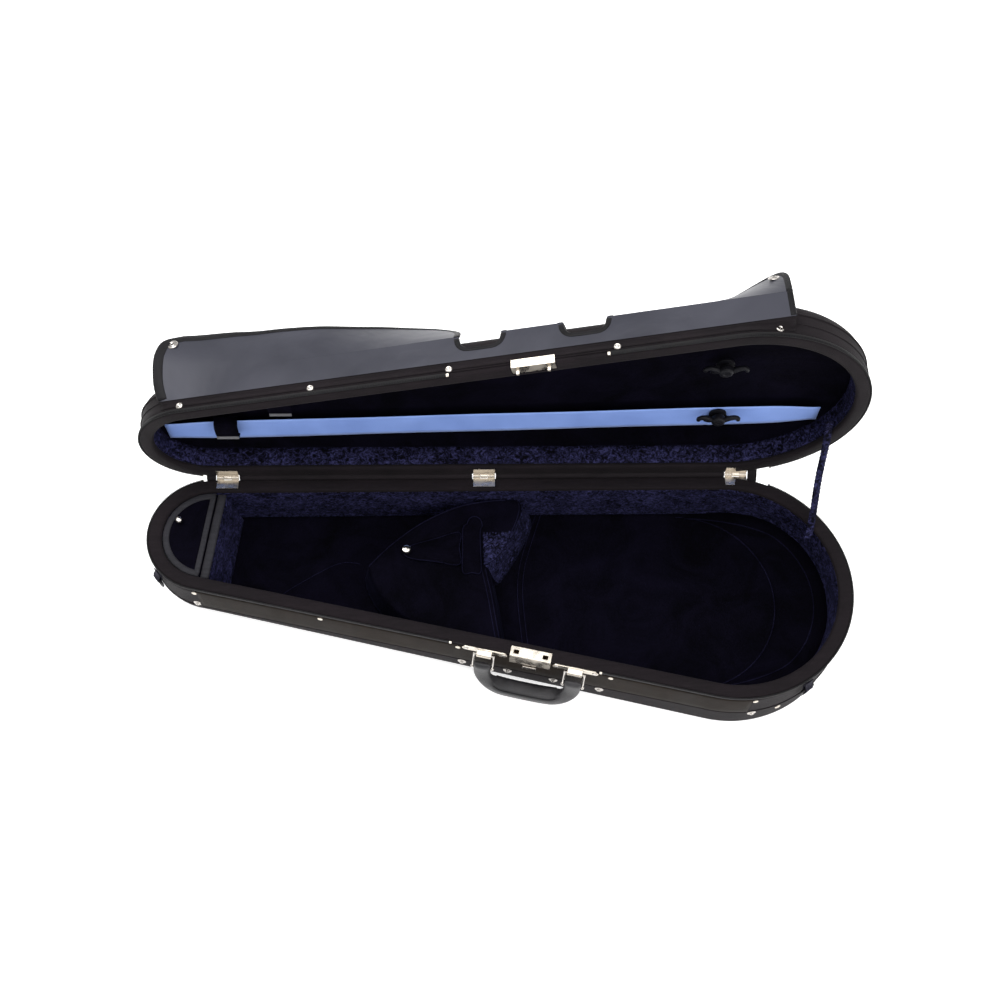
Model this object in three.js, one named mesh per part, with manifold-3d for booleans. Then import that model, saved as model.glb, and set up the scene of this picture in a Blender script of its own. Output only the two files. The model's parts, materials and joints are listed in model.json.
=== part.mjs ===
// A shaped (dart-shaped) violin case, standing open on its flat underside.
// Millimetres, +Z up. X runs along the case: the narrow scroll end is at -X, the wide body end at +X.
// -Y is the front, with the lock and the handle; +Y is the back, with the hinges.
// The origin is on the flat underside, halfway between the centres of the two round ends.
import * as THREE from 'three';
import { mergeVertices } from 'three/addons/utils/BufferGeometryUtils.js';
import Module from 'manifold-3d';

const wasm = await Module();
wasm.setup();

// ---------- driving dimensions ----------
const HALF_SPAN = 292;        // half the distance along X between the two end centres
const WIDE_RADIUS = 134;
const NARROW_RADIUS = 68;
const BASE_HEIGHT = 88;       // underside to the plane where the lid and the base meet
const BOTTOM_ROUND_WIDE = 8;  // rounding of the base's lower edge at the wide end
const BOTTOM_ROUND_NARROW = 38;
const LID_WALL = 30;          // straight part of the lid's wall
const LID_ROUND = 20;         // rounding of the lid's upper edge
const LID_CROWN = 5;          // how far the lid's top rises inside that rounding
const OPEN_ANGLE = 91;        // degrees between the closed and the open lid
const HINGE_OUT = 2.6;        // hinge axis behind the back wall
const HINGE_XS = [-276, 18, 310];
const COVER = 2;              // fabric cover
const SHELL_WALL = 7.7;
const RIM_WIDTH = 15;
const RIM_DEPTH = 6;
const GAP = 0.3;              // clearance between neighbouring pieces
const PARTING = 0.5;          // each rim stops this far from the parting plane
const PAD_TOP = 24;           // top of the padded floor
const NECK_TOP = 66;          // top of the neck block
const POCKET_TOP = 80;        // underside of the scroll-end pocket's lid
const FLAP_WIDTH = 82;
const FLAP_ABOVE_RIM = 15;    // the flap's seam above the parting plane
const FLAP_OUT = 4.5;         // the flap's folding line in front of the wall
const FLAP_FROM = -312;
const FLAP_SPLIT = -190;      // the flap's free end twists up from here
const FLAP_TO = 352;
const FLAP_LEAN = 100;        // degrees from the wall's normal, laid back over the lid
const FLAP_END_LEAN = 30;
const LOCK_AT = 90;           // along the front wall, from its middle
const BRACKETS_AT = [40, 140];
const BRACKET_HEIGHT = 80;

// ---------- directions worked out from them ----------
const rad = THREE.MathUtils.degToRad;
const END_SHIFT = (WIDE_RADIUS - NARROW_RADIUS) / 2;
const BACK_Y = (WIDE_RADIUS + NARROW_RADIUS) / 2;
const WIDE_CENTRE = new THREE.Vector2(HALF_SPAN, -END_SHIFT);
const NARROW_CENTRE = new THREE.Vector2(-HALF_SPAN, END_SHIFT);
const TAPER = Math.asin((WIDE_RADIUS - NARROW_RADIUS) / WIDE_CENTRE.distanceTo(NARROW_CENTRE));
const FRONT_TURN = -2 * TAPER;
const FRONT_NORMAL = new THREE.Vector2(Math.sin(FRONT_TURN), -Math.cos(FRONT_TURN));
const FRONT_MIDDLE = WIDE_CENTRE.clone().addScaledVector(FRONT_NORMAL, WIDE_RADIUS)
  .add(NARROW_CENTRE.clone().addScaledVector(FRONT_NORMAL, NARROW_RADIUS)).multiplyScalar(0.5);
const HINGE_Y = BACK_Y + HINGE_OUT;
const WIDE_SWEEP = Math.PI + 2 * TAPER;
const NARROW_SWEEP = Math.PI - 2 * TAPER;

// ---------- materials ----------
function paint(color, roughness, metalness = 0) {
  return new THREE.MeshStandardMaterial({ color, roughness, metalness });
}
const COLOURS = {
  cover: () => paint(0x151213, 0.85),
  satin: () => paint(0x1d1817, 0.5),
  rim: () => paint(0x1a1516, 0.8),
  board: () => paint(0x8a6a48, 0.8),
  velvet: () => paint(0x0b0b1e, 0.95),
  plush: () => paint(0x15163a, 0.85),
  ribbon: () => paint(0x7f9fe0, 0.35),
  nickel: () => paint(0xcfc8ba, 0.28, 1),
  pvc: () => paint(0x474a55, 0.45),
  handle: () => paint(0x18181b, 0.45),
  plastic: () => paint(0x101014, 0.4),
  webbing: () => paint(0x121020, 0.9),
  zip: () => paint(0x0f0f10, 0.7),
};

// ---------- geometry helpers ----------
function solid(geometry) {
  const bare = geometry.clone();
  bare.deleteAttribute('normal');
  bare.deleteAttribute('uv');
  const merged = mergeVertices(bare, 1e-4);
  return new wasm.Manifold(new wasm.Mesh({
    numProp: 3,
    vertProperties: Float32Array.from(merged.attributes.position.array),
    triVerts: Uint32Array.from(merged.index.array),
  }));
}

function geometryOf(manifold) {
  const mesh = manifold.getMesh();
  const geometry = new THREE.BufferGeometry();
  geometry.setAttribute('position', new THREE.BufferAttribute(Float32Array.from(mesh.vertProperties), 3));
  geometry.setIndex(Array.from(mesh.triVerts));
  geometry.computeVertexNormals();
  return geometry;
}

function cut(geometry, ...tools) {
  return geometryOf(tools.reduce((body, tool) => body.subtract(solid(tool)), solid(geometry)));
}

function join(...pieces) {
  return geometryOf(pieces.map(solid).reduce((body, piece) => body.add(piece)));
}

function block(x0, x1, y0, y1, z0, z1) {
  return new THREE.BoxGeometry(x1 - x0, y1 - y0, z1 - z0)
    .translate((x0 + x1) / 2, (y0 + y1) / 2, (z0 + z1) / 2);
}

// a cylinder along X, from x0 to x1
function rod(x0, x1, y, z, radius, sides = 12) {
  return new THREE.CylinderGeometry(radius, radius, x1 - x0, sides)
    .rotateZ(Math.PI / 2).translate((x0 + x1) / 2, y, z);
}

function extrude(shape, depth, z = 0, curveSegments = 8) {
  return new THREE.ExtrudeGeometry(shape, { depth, bevelEnabled: false, curveSegments }).translate(0, 0, z);
}

function shapeOf(points) {
  return new THREE.Shape(points.map(([x, y]) => new THREE.Vector2(x, y)));
}

// A block placed on the front wall: s along it, out from it, z up, in the base's frame.
function frontBlock(s0, s1, out0, out1, z0, z1) {
  return block(s0, s1, -out1, -out0, z0, z1)
    .rotateZ(FRONT_TURN).translate(FRONT_MIDDLE.x, FRONT_MIDDLE.y, 0);
}

// ---------- the case's outline ----------
function arcPoints(centre, radius, from, sweep, steps) {
  return Array.from({ length: steps + 1 }, (_, i) => {
    const angle = from + (sweep * i) / steps;
    const normal = new THREE.Vector2(Math.cos(angle), Math.sin(angle));
    return { normal, point: centre.clone().addScaledVector(normal, radius) };
  });
}

const FRONT_NORMAL_ANGLE = -Math.PI / 2 + FRONT_TURN;
const OUTLINE = [
  ...arcPoints(WIDE_CENTRE, WIDE_RADIUS, FRONT_NORMAL_ANGLE, WIDE_SWEEP, 26),
  ...arcPoints(NARROW_CENTRE, NARROW_RADIUS, Math.PI / 2, NARROW_SWEEP, 16),
];

// One closed ring of points. inset and z are numbers, or functions of the bottom rounding there.
function ring(inset, z) {
  return OUTLINE.map(({ point, normal }) => {
    const t = THREE.MathUtils.clamp((point.x + HALF_SPAN) / (2 * HALF_SPAN), 0, 1);
    const round = THREE.MathUtils.lerp(BOTTOM_ROUND_NARROW, BOTTOM_ROUND_WIDE, t);
    const value = (v) => (typeof v === 'function' ? v(round) : v);
    return new THREE.Vector3(point.x - normal.x * value(inset), point.y - normal.y * value(inset), value(z));
  });
}

// Joins rings into one skin. A closed skin runs back to its first ring; an open one is capped at both ends.
function skin(rings, closed = false) {
  const count = rings[0].length;
  const points = rings.flat();
  const index = [];
  const bands = closed ? rings.length : rings.length - 1;
  for (let k = 0; k < bands; k += 1) {
    const low = k * count;
    const high = ((k + 1) % rings.length) * count;
    for (let i = 0; i < count; i += 1) {
      const next = (i + 1) % count;
      index.push(low + i, low + next, high + next, low + i, high + next, high + i);
    }
  }
  if (!closed) {
    capEnd(points, index, 0, count, true);
    capEnd(points, index, (rings.length - 1) * count, count, false);
  }
  const geometry = new THREE.BufferGeometry().setFromPoints(points);
  geometry.setIndex(index);
  return geometry;
}

function capEnd(points, index, start, count, facingDown) {
  const centre = new THREE.Vector3();
  for (let i = 0; i < count; i += 1) centre.addScaledVector(points[start + i], 1 / count);
  const middle = points.push(centre) - 1;
  for (let i = 0; i < count; i += 1) {
    const a = start + i;
    const b = start + ((i + 1) % count);
    index.push(middle, facingDown ? b : a, facingDown ? a : b);
  }
}

// A corner of the base's rounded lower edge, for a surface that lies `deep` inside the outer one.
const ROUND_STEPS = [90, 60, 30, 0];
function bottomCorner(round, deep, degrees) {
  const radius = Math.max(round - deep, 1);
  return {
    inset: deep + radius * (1 - Math.cos(rad(degrees))),
    z: deep + radius * (1 - Math.sin(rad(degrees))),
  };
}

function bottomRings(deep) {
  return ROUND_STEPS.map((degrees) => ring(
    (round) => bottomCorner(round, deep, degrees).inset,
    (round) => bottomCorner(round, deep, degrees).z,
  ));
}

// Rings of the lid's rounded upper edge and crown, in the lid's own frame, from the wall to the middle.
function crownRings(deep, wallTop, radius, crown) {
  const edge = [0, 30, 60, 90].map((degrees) => ring(
    deep + radius * (1 - Math.cos(rad(degrees))),
    wallTop + radius * Math.sin(rad(degrees)),
  ));
  return [...edge, ring(deep + radius + 22, wallTop + radius + crown * 0.75)];
}

// A point on the outline, by its distance from the middle of the front wall, towards the wide end.
function outlineAt(distance, out = 0) {
  const wideLength = WIDE_RADIUS * WIDE_SWEEP;
  const back = HALF_SPAN + wideLength;
  if (distance > HALF_SPAN) {
    if (distance > back) return [HALF_SPAN - (distance - back), BACK_Y + out];
    return roundEnd(WIDE_CENTRE, WIDE_RADIUS + out, FRONT_NORMAL_ANGLE + (distance - HALF_SPAN) / WIDE_RADIUS);
  }
  if (distance < -HALF_SPAN) {
    return roundEnd(NARROW_CENTRE, NARROW_RADIUS + out, FRONT_NORMAL_ANGLE + (distance + HALF_SPAN) / NARROW_RADIUS);
  }
  const along = new THREE.Vector2(Math.cos(FRONT_TURN), Math.sin(FRONT_TURN));
  const point = FRONT_MIDDLE.clone().addScaledVector(along, distance).addScaledVector(FRONT_NORMAL, out);
  return [point.x, point.y];
}

function roundEnd(centre, radius, angle) {
  return [centre.x + radius * Math.cos(angle), centre.y + radius * Math.sin(angle)];
}

// Distances along the outline at which a strip needs a corner: none along the straight sides.
function stripStations() {
  const wide = Array.from({ length: 46 }, (_, i) => HALF_SPAN + (WIDE_RADIUS * WIDE_SWEEP * i) / 45);
  const narrow = Array.from({ length: 26 }, (_, i) => -HALF_SPAN - (NARROW_RADIUS * NARROW_SWEEP * i) / 25);
  return [...narrow.reverse(), ...wide];
}

// A thin strip that follows the outline between two distances.
function outlineStrip(from, to, out0, out1, depth, z) {
  const stations = [from, ...stripStations().filter((d) => d > from + 1 && d < to - 1), to];
  const outer = stations.map((d) => outlineAt(d, out1));
  const inner = stations.map((d) => outlineAt(d, out0)).reverse();
  return extrude(shapeOf([...outer, ...inner]), depth, z);
}

// ---------- groups ----------
const violinCase = new THREE.Group();
const lid = new THREE.Group();
lid.position.set(0, HINGE_Y, BASE_HEIGHT);
lid.rotation.x = -rad(OPEN_ANGLE);
const lidPieces = new THREE.Group(); // the closed lid's frame: same X and Y as the base, Z from the parting plane
lidPieces.position.set(0, -HINGE_Y, 0);
lid.add(lidPieces);
violinCase.add(lid);

function onFrontWall(parent) {
  const group = new THREE.Group();
  group.position.set(FRONT_MIDDLE.x, FRONT_MIDDLE.y, 0);
  group.rotation.z = FRONT_TURN;
  parent.add(group);
  return group;
}
const baseFront = onFrontWall(violinCase);
const lidFront = onFrontWall(lidPieces);

function add(parent, name, geometry, colour, at = [0, 0, 0]) {
  const mesh = new THREE.Mesh(geometry, COLOURS[colour]());
  mesh.name = name;
  mesh.position.set(...at);
  parent.add(mesh);
  return mesh;
}

// ---------- base: cover, shell, rim and linings ----------
const RIM_FOOT = BASE_HEIGHT - PARTING - RIM_DEPTH;
const LOCK_WIDTH = 45;
const LOCK_FOOT = 67;
const lockSpace = () => frontBlock(
  LOCK_AT - LOCK_WIDTH / 2 - GAP, LOCK_AT + LOCK_WIDTH / 2 + GAP, -9.6, 6, LOCK_FOOT - GAP, BASE_HEIGHT + 4,
);
const LEAF_LENGTH = 25;
const LEAF_REACH = 11;
const LEAF_THICK = 1.2;
const baseLeafSpaces = () => HINGE_XS.map((x) => block(
  x - LEAF_LENGTH / 2 - GAP, x + LEAF_LENGTH / 2 + GAP, BACK_Y - LEAF_REACH - GAP, BACK_Y + 5,
  BASE_HEIGHT - 2.1, BASE_HEIGHT + 2,
));

function rimRing(foot, top) {
  const edge = 1.5;
  return skin([
    ring(0.5, foot), ring(0, foot + edge), ring(0, top - edge), ring(edge, top),
    ring(RIM_WIDTH - edge, top), ring(RIM_WIDTH, top - edge), ring(RIM_WIDTH, foot + edge), ring(14.5, foot),
  ], true);
}

function baseCover() {
  const tub = skin([
    ...bottomRings(0), ring(0, RIM_FOOT - GAP), ring(COVER, RIM_FOOT - GAP), ...bottomRings(COVER).reverse(),
  ]);
  return cut(tub, lockSpace());
}

function baseShell() {
  const outer = COVER + GAP;
  const inner = COVER + SHELL_WALL;
  const tub = skin([
    ...bottomRings(outer), ring(outer, RIM_FOOT - GAP), ring(inner, RIM_FOOT - GAP), ...bottomRings(inner).reverse(),
  ]);
  return cut(tub, lockSpace());
}

const LINING_OUT = COVER + SHELL_WALL + GAP;
const LINING_IN = RIM_WIDTH - 0.3;
function baseWallLining() {
  const foot = (round) => Math.max(PAD_TOP + GAP, round + GAP);
  return skin([
    ring(LINING_OUT, foot), ring(LINING_OUT, RIM_FOOT - GAP), ring(LINING_IN, RIM_FOOT - GAP), ring(LINING_IN, foot),
  ], true);
}

// How far inside the outline the shell's inner surface lies at height z, where the rounding is `round`.
function shellInsetAt(round, z) {
  const corners = ROUND_STEPS.map((degrees) => bottomCorner(round, COVER + SHELL_WALL, degrees));
  const above = corners.findIndex((corner) => corner.z > z);
  if (above < 1) return corners.at(above).inset;
  const [low, high] = [corners[above - 1], corners[above]];
  return THREE.MathUtils.mapLinear(z, low.z, high.z, low.inset, high.inset);
}

function floorPad() {
  const foot = COVER + SHELL_WALL + GAP;
  const levels = [foot, foot + 3, foot + 7, PAD_TOP];
  return skin(levels.map((z) => ring((round) => Math.max(RIM_WIDTH, shellInsetAt(round, z) + GAP * 2), z)));
}

// The crescent that holds the violin's lower bout: its inner side slopes from one circle to a wider one.
function lowerBoutCushion() {
  const top = PAD_TOP + 16;
  const slab = skin([ring(RIM_WIDTH, PAD_TOP + GAP), ring(RIM_WIDTH, top)]);
  const bout = new THREE.Vector2(245, -28);
  const slope = [0, 1].map((t) => {
    const centre = bout.clone().lerp(WIDE_CENTRE, t * 1.05);
    return arcPoints(centre, THREE.MathUtils.lerp(108, 102, t), 0, 2 * Math.PI * (39 / 40), 39)
      .map(({ point }) => new THREE.Vector3(point.x, point.y, THREE.MathUtils.lerp(PAD_TOP - 1, top + 1, t)));
  });
  return cut(slab, skin(slope), block(-500, 262, -300, 300, 0, 100));
}

add(violinCase, 'base_cover', baseCover(), 'cover');
add(violinCase, 'base_shell', baseShell(), 'board');
const baseRimGeometry = cut(rimRing(RIM_FOOT, BASE_HEIGHT - PARTING), lockSpace(), ...baseLeafSpaces());
add(violinCase, 'base_rim', baseRimGeometry, 'rim');
add(violinCase, 'base_wall_lining', baseWallLining(), 'plush');
add(violinCase, 'floor_pad', floorPad(), 'velvet');
add(violinCase, 'lower_bout_cushion', lowerBoutCushion(), 'velvet');

// the smooth cloth panel along the front wall, between the rim and the lower seam
const PANEL_FROM = -286;
const PANEL_TO = 330;
const panelStrip = outlineStrip(PANEL_FROM, PANEL_TO, GAP, 1.1, 36, 42);
const lockPanelSpace = frontBlock(LOCK_AT - 24, LOCK_AT + 24, -1, 8, 56, 90);
const bracketSpaces = BRACKETS_AT.map((s) => frontBlock(s - 27, s + 27, -1, 8, 73, 90));
add(violinCase, 'front_panel', cut(panelStrip, lockPanelSpace, ...bracketSpaces), 'satin');

// ---------- neck block with its strap and pocket ----------
function neckBlockShape() {
  const shape = new THREE.Shape();
  shape.moveTo(-115, 1);
  shape.quadraticCurveTo(-66, 60, -8, 78);
  shape.quadraticCurveTo(20, 85.4, 50, 85.4);
  shape.quadraticCurveTo(64, 85, 62, 70);
  shape.quadraticCurveTo(52, 40, 22, -2);
  shape.quadraticCurveTo(30, -44, 36, -95.6);
  shape.lineTo(-50, -76);
  shape.quadraticCurveTo(-104, -48, -115, 1);
  return shape;
}

// The pocket's lid narrows from its straight edge, under the strap, towards its knob.
const NECK_POCKET_EDGE = -10;
function neckPocketShape(grow, edge = NECK_POCKET_EDGE) {
  return shapeOf([
    [edge, 1 - grow], [edge, 43 + grow], [-66 - grow, 27 + grow], [-76 - grow, 18], [-66 - grow, 9 - grow],
  ]);
}

function neckBlock() {
  const body = extrude(neckBlockShape(), NECK_TOP - PAD_TOP - GAP, PAD_TOP + GAP, 10);
  const channel = block(NECK_POCKET_EDGE, 90, 3, 41, NECK_TOP - 14, NECK_TOP + 5);
  const rebate = extrude(neckPocketShape(2, NECK_POCKET_EDGE + 1), 8, NECK_TOP - 4);
  const well = extrude(neckPocketShape(-5, NECK_POCKET_EDGE - 6), 60, PAD_TOP + 10);
  return cut(body, channel, rebate, well);
}
add(violinCase, 'neck_block', neckBlock(), 'velvet');

const strapShape = new THREE.Shape();
strapShape.moveTo(-7, -9);
strapShape.lineTo(13, -9);
strapShape.lineTo(13, 44);
strapShape.absarc(7, 53, 9, -0.9, Math.PI * 0.9, false);
strapShape.lineTo(-7, 46);
add(violinCase, 'neck_strap', extrude(strapShape, 2, NECK_TOP + GAP, 6), 'velvet');

const NECK_PIVOT = [NECK_POCKET_EDGE, 0, NECK_TOP];
const neckPocketLid = extrude(neckPocketShape(0), 3.2, 0).translate(-NECK_PIVOT[0] - 0.5, 0, -3.6);
add(violinCase, 'neck_pocket_lid', neckPocketLid, 'velvet', NECK_PIVOT);

// a small domed pull knob on a short neck
function knob(radius, height) {
  const profile = [
    [0, 0], [radius * 0.45, 0], [radius * 0.45, height * 0.35], [radius * 0.85, height * 0.45],
    [radius, height * 0.65], [radius * 0.75, height * 0.9], [0, height],
  ];
  return new THREE.LatheGeometry(profile.map(([x, y]) => new THREE.Vector2(x, y)), 14).rotateX(Math.PI / 2);
}
const neckKnob = knob(6, 10).translate(-61, 18, -0.1);
add(violinCase, 'neck_pocket_knob', neckKnob, 'nickel', NECK_PIVOT);

// ---------- scroll-end pocket ----------
// Its group stands at the narrow end's centre, turned so that local X runs along the case's axis.
const pocket = new THREE.Group();
pocket.position.set(NARROW_CENTRE.x, NARROW_CENTRE.y, 0);
pocket.rotation.z = -TAPER;
violinCase.add(pocket);

const PARTITION_TOP_THICK = 9;
const PARTITION_TOP = POCKET_TOP + 2; // with the tape that the pocket's lid hinges on
function scrollPartition() {
  const halfWidth = NARROW_RADIUS - RIM_WIDTH - 0.4;
  const shape = shapeOf([
    [-2, PAD_TOP + GAP], [20, PAD_TOP + GAP], [PARTITION_TOP_THICK, PARTITION_TOP], [0, PARTITION_TOP],
  ]);
  const wall = extrude(shape, 2 * halfWidth).rotateX(Math.PI / 2).translate(0, halfWidth, 0);
  const footCut = [-1, 1].map((side) => block(-40, 40, side * halfWidth - 9, side * halfWidth + 9, 0, 40));
  return cut(wall, ...footCut);
}
add(pocket, 'scroll_partition', scrollPartition(), 'plush');

const POCKET_LID_THICK = 4;
const POCKET_PIVOT = [0, 0, POCKET_TOP + GAP + POCKET_LID_THICK]; // on the lid's top face
function pocketLid() {
  const shape = new THREE.Shape();
  const radius = NARROW_RADIUS - RIM_WIDTH - 0.8;
  const straight = -1.5;
  const angle = Math.acos(straight / radius);
  shape.absarc(0, 0, radius, angle, 2 * Math.PI - angle, false);
  return extrude(shape, POCKET_LID_THICK, -POCKET_LID_THICK, 20);
}
add(pocket, 'scroll_pocket_lid', pocketLid(), 'velvet', POCKET_PIVOT);
add(pocket, 'scroll_pocket_knob', knob(4.2, 8).translate(-36, 12, GAP), 'nickel', POCKET_PIVOT);

// ---------- lid: cover, shell, rim and linings ----------
const LID_RIM_TOP = PARTING + RIM_DEPTH;
const lidLeafSpaces = () => HINGE_XS.map((x) => block(
  x - LEAF_LENGTH / 2 - GAP, x + LEAF_LENGTH / 2 + GAP, BACK_Y - LEAF_REACH - GAP, BACK_Y + 5, -2, 2.1,
));

// The lid's skins run from the inside of the crown, down the inner wall and up the outer one.
function lidSkin(outerDeep, outerWall, outerRound, innerDeep, innerWall, innerRound) {
  const foot = LID_RIM_TOP + GAP;
  return skin([
    ...crownRings(innerDeep, innerWall, innerRound, LID_CROWN).reverse(),
    ring(innerDeep, foot), ring(outerDeep, foot),
    ...crownRings(outerDeep, outerWall, outerRound, LID_CROWN),
  ]);
}

function lidPanel() {
  const foot = [[RIM_WIDTH, 27.5], [26, 33], [48, 36]];
  return skin([
    ...foot.toReversed().map(([inset, z]) => ring(inset, z)),
    ...foot.map(([inset, z]) => ring(inset, z + 5)),
  ]);
}

function lidWallLining() {
  return skin([
    ring(LINING_OUT, LID_RIM_TOP + GAP), ring(LINING_OUT, 27), ring(LINING_IN, 27), ring(LINING_IN, LID_RIM_TOP + GAP),
  ], true);
}

add(lidPieces, 'lid_cover', lidSkin(0, LID_WALL, LID_ROUND, COVER, LID_WALL, LID_ROUND - COVER), 'cover');
const shellSkin = lidSkin(COVER + GAP, LID_WALL, LID_ROUND - COVER - GAP, COVER + SHELL_WALL, LID_WALL - 3, 14);
add(lidPieces, 'lid_shell', shellSkin, 'board');
const strikerSpace = frontBlock(LOCK_AT - 23.2, LOCK_AT + 23.2, -9.6, 3, -3, 1.9);
add(lidPieces, 'lid_rim', cut(rimRing(PARTING, LID_RIM_TOP), strikerSpace, ...lidLeafSpaces()), 'rim');
add(lidPieces, 'lid_wall_lining', lidWallLining(), 'plush');
add(lidPieces, 'lid_panel', lidPanel(), 'velvet');

// ---------- ribbon and bow holders inside the lid ----------
const RIBBON_HEIGHT = 26;
const RIBBON_WIDTH = 32;
const RIBBON_FROM = new THREE.Vector2(-334, 44);
const RIBBON_TO = new THREE.Vector2(388, 14);
const ribbonLength = RIBBON_FROM.distanceTo(RIBBON_TO);
const ribbonTurn = RIBBON_TO.clone().sub(RIBBON_FROM).angle();
const ribbonStrip = block(0, ribbonLength, -RIBBON_WIDTH / 2, RIBBON_WIDTH / 2, 0, 0.9)
  .rotateZ(ribbonTurn).translate(RIBBON_FROM.x, RIBBON_FROM.y, RIBBON_HEIGHT);
add(lidPieces, 'ribbon', ribbonStrip, 'ribbon');

const BOWS = [
  { name: 'rear', tip: [-266, 30], spinner: [276, 12] },
  { name: 'front', tip: [-204, -6], spinner: [268, -84] },
];

// a soft loop that the tip of a bow slips into
function tipLoop() {
  const outer = block(-13, 13, -17, 17, -12, 0);
  return cut(outer, block(-20, 20, -13, 13, -9.5, -2.5));
}

// The spinner's foot is a flanged post; the turning bar has two hooked ends.
function spinnerFoot() {
  const profile = [[0, -13], [3, -13], [3, -3], [10, -2], [10, 0], [0, 0]];
  return new THREE.LatheGeometry(profile.map(([x, y]) => new THREE.Vector2(x, y)), 16).rotateX(Math.PI / 2);
}

function spinnerBar() {
  const bar = block(-22, 22, -4.5, 4.5, -12, -5);
  const hub = new THREE.CylinderGeometry(7.5, 7.5, 8, 16).rotateX(Math.PI / 2).translate(0, 0, -8.5);
  const ends = [-1, 1].map((side) => block(side * 20 - 3, side * 20 + 3, -8, 8, -12, -5));
  const bore = new THREE.CylinderGeometry(3.4, 3.4, 30, 16).rotateX(Math.PI / 2).translate(0, 0, -8.5);
  return cut(join(bar, hub, ...ends), bore);
}

const PANEL_FACE = [25.6, 32.4];
for (const [i, bow] of BOWS.entries()) {
  const loopTop = i === 0 ? PANEL_FACE[0] : PANEL_FACE[1];
  add(lidPieces, `bow_tip_loop_${bow.name}`, tipLoop(), 'velvet', [...bow.tip, loopTop]);
  add(lidPieces, `bow_spinner_foot_${bow.name}`, spinnerFoot(), 'plastic', [...bow.spinner, PANEL_FACE[0]]);
  add(lidPieces, `bow_spinner_${bow.name}`, spinnerBar(), 'plastic', [...bow.spinner, PANEL_FACE[0]]);
}

// ---------- hinges ----------
const BARREL = 2.3;
const KNUCKLE_HALF = 4;
function knuckles(spans) {
  return spans.map(([a, b]) => rod(a, b, 0, 0, BARREL));
}

// side is -1 for the base's leaf, which lies under the axis, and 1 for the lid's
function hingeLeaf(side, spans) {
  const far = -HINGE_OUT - LEAF_REACH + 0.3;
  const z = [side * 0.7, side * (0.7 + LEAF_THICK)].sort((a, b) => a - b);
  const half = LEAF_LENGTH / 2;
  const plate = block(-half, half, far, -2.8, ...z);
  const necks = spans.map(([a, b]) => block(a, b, -3, 0, ...z));
  return cut(join(plate, ...necks, ...knuckles(spans)), rod(-half - 1, half + 1, 0, 0, 1.45));
}
const OUTER_SPANS = [[-LEAF_LENGTH / 2, -KNUCKLE_HALF - GAP], [KNUCKLE_HALF + GAP, LEAF_LENGTH / 2]];
for (const [i, x] of HINGE_XS.entries()) {
  const place = ['narrow', 'middle', 'wide'][i];
  const axis = [x, HINGE_Y, BASE_HEIGHT];
  add(violinCase, `hinge_base_leaf_${place}`, hingeLeaf(-1, OUTER_SPANS), 'nickel', axis);
  add(violinCase, `hinge_pin_${place}`, rod(-LEAF_LENGTH / 2, LEAF_LENGTH / 2, 0, 0, 1.15), 'nickel', axis);
  const middle = [[-KNUCKLE_HALF, KNUCKLE_HALF]];
  add(lidPieces, `hinge_lid_leaf_${place}`, hingeLeaf(1, middle), 'nickel', [x, HINGE_Y, 0]);
}

// ---------- lock and striker ----------
const HOOKS = [LOCK_AT - 16, LOCK_AT + 16];
function lockCase() {
  const half = LOCK_WIDTH / 2;
  const top = BASE_HEIGHT - PARTING - 0.2;
  const body = block(-half, half, -2.5, 9, LOCK_FOOT, top);
  const cavity = block(-half + 1.6, half - 1.6, -1.3, 7.6, LOCK_FOOT - 5, top - 1.6);
  const slots = HOOKS.map((s) => block(s - LOCK_AT - 3, s - LOCK_AT + 3, 0.6, 5.2, top - 6, top + 4));
  return cut(body, cavity, ...slots);
}
add(baseFront, 'lock_case', lockCase(), 'nickel', [LOCK_AT, 0, 0]);

function lockSlider() {
  const bar = block(-11, 11, -0.9, 4, 74, 79);
  const neck = block(-4, 4, -0.9, -0.3, 64, 75);
  const tab = block(-7.5, 7.5, -4, -0.3, 58.5, 64.5);
  return join(bar, neck, tab);
}
add(baseFront, 'lock_slider', lockSlider(), 'nickel', [LOCK_AT, 0, 0]);

function striker() {
  const half = LOCK_WIDTH / 2;
  const front = block(-half, half, -1.9, -GAP, 0.4, 10);
  const under = block(-half, half, -1.9, 9, 0.4, 1.6);
  const hooks = HOOKS.map((s) => join(
    block(s - LOCK_AT - 1.5, s - LOCK_AT + 1.5, 1.8, 3.8, -6, 1),
    block(s - LOCK_AT - 1.5, s - LOCK_AT + 1.5, 1, 3.8, -6, -4.4),
  ));
  return join(front, under, ...hooks);
}
add(lidFront, 'striker_plate', striker(), 'nickel', [LOCK_AT, 0, 0]);

// ---------- handle ----------
const BAIL_OUT = 6;
const BAIL_DROP = 15;
const BAIL_STEP = 8;
const BAIL_HALF = 12;
const WIRE = 1.2;
const WIRE_BORE = 1.7;
const HANDLE_OUT = BAIL_OUT + BAIL_STEP;
const HANDLE_HEIGHT = BRACKET_HEIGHT - BAIL_DROP;
const BRACKET_NAMES = ['left', 'right'];

function bracket() {
  const shape = new THREE.Shape();
  shape.absarc(-21, 0, 4.2, Math.PI / 2, (3 * Math.PI) / 2, false);
  shape.absarc(21, 0, 4.2, -Math.PI / 2, Math.PI / 2, false);
  const plate = extrude(shape, 1.5, 0, 6).rotateX(Math.PI / 2).translate(0, -GAP, 0);
  const lug = join(block(-8, 8, -BAIL_OUT, -1, -3, 3), rod(-8, 8, -BAIL_OUT, 0, 3));
  return cut(join(plate, lug), rod(-10, 10, -BAIL_OUT, 0, WIRE_BORE));
}

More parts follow.
